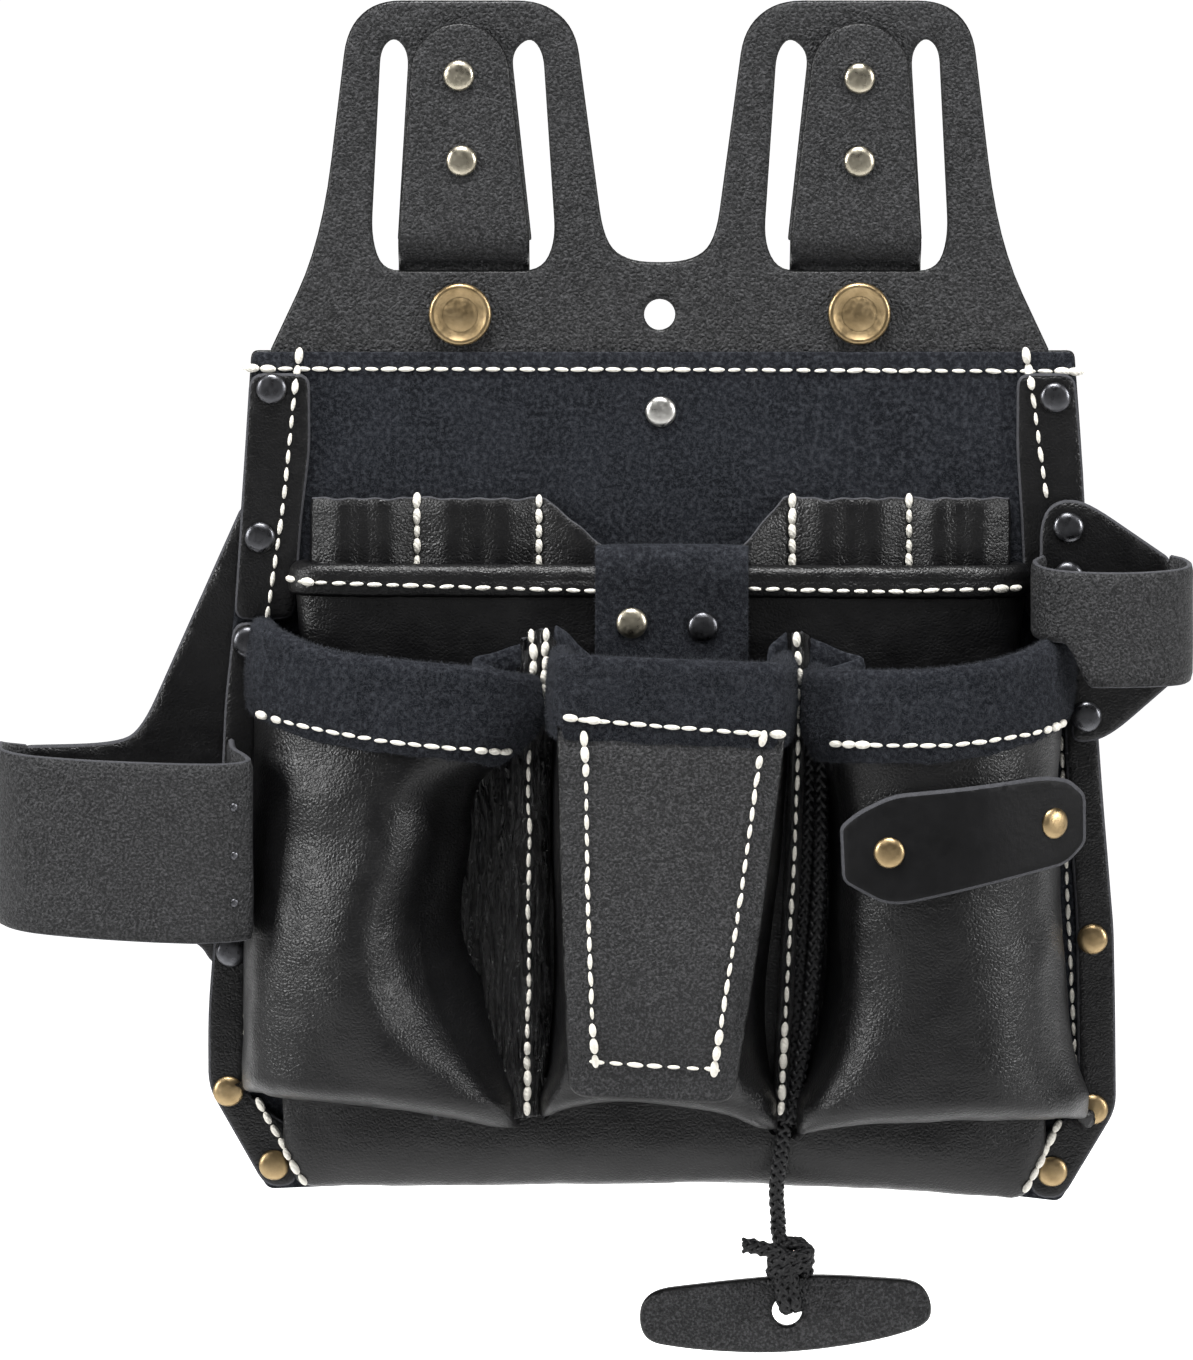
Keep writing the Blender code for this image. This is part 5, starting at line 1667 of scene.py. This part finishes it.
def build_loops():
    wing = [(-103.3, -61.2), (-113.6, -61.2), (-127.5, -92.0), (-141.0, -122.2), (-148.0, -126.0),
            (-174.0, -126.6), (-174.0, -170.6), (-126.0, -180.0), (-121.8, -187.0), (-103.3, -187.0)]
    wing = rounded(wing, [0.5, 2.0, 30.0, 10.0, 12.0, 3.0, 3.0, 8.0, 3.0, 0.5], 6)
    ob = layer("left_loop_wing_leather", wing, YOKE_LAYER, 0.0, 0.0, [SMOOTH, EDGE], (), 2.2, 0.6, 1)
    fit(ob, "pouch", "pebbled_leather", "left_loop_wing")
    path = [(-172.4, -4.9), (-176.8, -10.0), (-178.3, -20.0), (-177.3, -32.0), (-170.0, -42.0),
            (-156.0, -47.0), (-140.0, -48.4), (-125.0, -47.2), (-115.4, -44.0), (-110.8, -39.6),
            (-112.0, -33.6), (-115.0, -27.0), (-115.8, -19.0)]

    def big_top(f):
        near_end = 20.0 * max(0.0, f - 0.80) ** 1.1
        near_start = 3.6 * max(0.0, 1.0 - f / 0.14)
        return -122.6 - 3.6 * min(1.0, f / 0.75) + near_end - near_start

    def big_low(f):
        return -169.4 - 4.6 * min(1.0, f / 0.7) + 4.0 * max(0.0, f - 0.85)

    big = band("left_tool_loop", path, big_top, big_low, 2.5, [PEBBLED, EDGE], 1.1, 3.0, 1)
    fit(big, "pouch", "pebbled_leather", "left_loop_band")
    field = Front(big)
    spots = [(-114.2, field.y(-114.2, z), z) for z in (-137.7, -150.8, -163.6)]
    spots = [tuple(c * MM for c in q) for q in spots if q[1] is not None]
    set_heads("left_loop_dents", "pouch", "gunmetal", spots, [(0.45, -0.89, 0.0)] * len(spots), DENT)
    ear = [(103.0, -66.0), (105.0, -60.5), (110.0, -58.2), (116.5, -59.6), (138.4, -74.6), (140.6, -107.0),
           (124.0, -121.6), (118.0, -124.6), (111.8, -124.6), (111.8, -96.0), (110.0, -94.0), (103.0, -94.0)]
    ear = rounded(ear, [3.0, 4.0, 5.0, 8.0, 2.0, 2.0, 6.0, 5.0, 3.0, 1.0, 1.0, 1.0], 5)
    ob = layer("right_loop_ear_leather", ear, EAR_LAYER, 0.3, 2.0, [SMOOTH, EDGE], (), 1.8, 0.6, 1)
    fit(ob, "pouch", "pebbled_leather", "right_loop_ear")
    path = [(138.4, -12.4), (141.8, -17.5), (142.4, -26.0), (139.0, -34.0), (129.0, -38.6), (116.0, -39.0),
            (106.4, -35.5), (102.0, -28.0), (101.2, -19.0), (103.6, -12.6)]
    xs = spline(path, 90)[:, 0]

    def small_top(f):
        return -73.6 - 1.8 * math.sin(math.pi * f)

    def small_low(f):
        x = float(np.interp(f, np.linspace(0, 1, len(xs)), xs))
        t = min(1.0, max(0.0, (x - 108.0) / 8.0))
        return -94.0 - 11.8 * t * t * (3 - 2 * t)

    small = band("right_tool_loop", path, small_top, small_low, 2.3, [PEBBLED, EDGE], 1.0, 6.0, 1)
    fit(small, "pouch", "pebbled_leather", "right_loop_band")


PATCH = build_patch()
build_label()
build_tab()
PENS = build_pen_strips()
VALLEYS = build_valleys()
build_loops()


# ---------------------------------------------------------------- rivets

def build_rivets():
    dark = ["rivet_left_top", "rivet_left_upper", "rivet_left_middle", "rivet_left_lower", "rivet_right_top",
            "rivet_right_upper", "rivet_right_middle", "rivet_right_waist"]
    brass = ["rivet_left_bottom", "rivet_left_corner", "rivet_right_lower", "rivet_right_bottom",
             "rivet_right_corner"]
    set_rivets("dark_rivets", "pouch", "gunmetal", dark, RIVET)
    set_rivets("brass_rivets", "pouch", "antique_brass", brass, RIVET)
    set_rivets("silver_rivet", "pouch", "silver", ["rivet_centre"], RIVET)
    set_feet("lining_feet", "pouch", [(x, 0.3, z) for x, z in EDGE_RIVETS])


build_rivets()


# ---------------------------------------------------------------- sewing

def seam(points, *onto):
    return lay(points, onto)


def build_stitches():
    body = [SUEDE_FRONT] + EDGES
    corners = EDGES + [POCKETS["middle"]]
    plain = [
        seam([(-106, -23.4), (0, -23.6), (109, -24.1)], *body),
        seam([(-98.6, -28), (-101.8, -58.9), (-106.7, -92.9)], *body),
        seam([(100.4, -27), (104.5, -56.2)], *body),
        seam([(109.4, -125.6), (111.2, -167.7), (113.4, -208.5), (113.7, -218.1)], *body),
        seam([(-112.6, -190), (-113.4, -214)], *body),
        seam([(-96, -79.9), (-60, -80.8), (-18.5, -81.9)], POCKETS["roll"]),
        seam([(25.6, -81.4), (60, -82.2), (92, -81.6)], POCKETS["roll"]),
        seam([(-103, -115.4), (-75.3, -119.3), (-48, -122.2)], POCKETS["left_rim"]),
        seam([(-20, -112.6), (26, -116.2)], POCKETS["centre_rim"]),
        seam([(53, -119.9), (75.9, -119.7), (104, -117.4)], POCKETS["right_rim"]),
        seam([(-19.9, -126), (-19.4, -161.7), (-18.1, -196)], PATCH),
        seam([(-17.0, -204.8), (13.8, -206.9)], PATCH),
        seam([(15.6, -198), (21.1, -161.7), (26.2, -124)], PATCH),
        seam([(-35.2, -125.7), (-35.6, -205)], VALLEYS[0]),
        seam([(37.4, -104), (37.3, -117.3), (36.2, -153.5), (34.6, -182), (33.8, -200)], VALLEYS[1]),
    ]
    heavy = [
        seam([(-110.4, -23.2), (-106, -23.4)], *body),
        seam([(109, -24.1), (112.4, -24.2)], *body),
        seam([(-97.6, -19.8), (-98.6, -28)], *body),
        seam([(99.2, -19.8), (100.4, -27)], *body),
        seam([(-109, -224.9), (-97.2, -244.7)], *corners),
        seam([(108.8, -230.8), (100.4, -246.6)], *corners),
        seam([(-65.9, -59.2), (-65.9, -75.5)], PENS[0]),
        seam([(-32.7, -59.2), (-32.7, -75.5)], PENS[0]),
        seam([(35.9, -59.2), (35.9, -75.5)], PENS[1]),
        seam([(67.5, -59.2), (67.5, -75.5)], PENS[1]),
        seam([(-99.5, -79.6), (-95, -79.9)], POCKETS["roll"]),
        seam([(92, -81.6), (96, -81.6)], POCKETS["roll"]),
        seam([(-107, -114.8), (-103, -115.4)], POCKETS["left_rim"]),
        seam([(-48, -122.2), (-41.5, -122.9)], POCKETS["left_rim"]),
        seam([(-24, -112.1), (-18, -112.8)], POCKETS["centre_rim"]),
        seam([(25, -116.2), (31, -116.6)], POCKETS["centre_rim"]),
        seam([(47, -120.1), (54, -119.9)], POCKETS["right_rim"]),
        seam([(104, -117.4), (108, -116.8)], POCKETS["right_rim"]),
        seam([(-20.4, -117.6), (-19.9, -126)], PATCH, POCKETS["centre_rim"]),
        seam([(-18.1, -196), (-17.4, -204.6)], PATCH),
        seam([(15.6, -198), (14.4, -206.8)], PATCH),
        seam([(27.2, -117.6), (26.2, -124)], PATCH, POCKETS["centre_rim"]),
        seam([(-35.6, -205), (-35.8, -221.5)], VALLEYS[0]),
        seam([(-34.2, -93.2), (-33.8, -101.6)], VALLEYS[0]),
        seam([(-30.4, -92.6), (-31.8, -111.5)], VALLEYS[0]),
        seam([(33.8, -200), (32.8, -221.5)], VALLEYS[1]),
        seam([(36.9, -94.0), (37.6, -104)], VALLEYS[1]),
    ]
    sew("cream_stitches", "pouch", plain, heavy)


build_stitches()
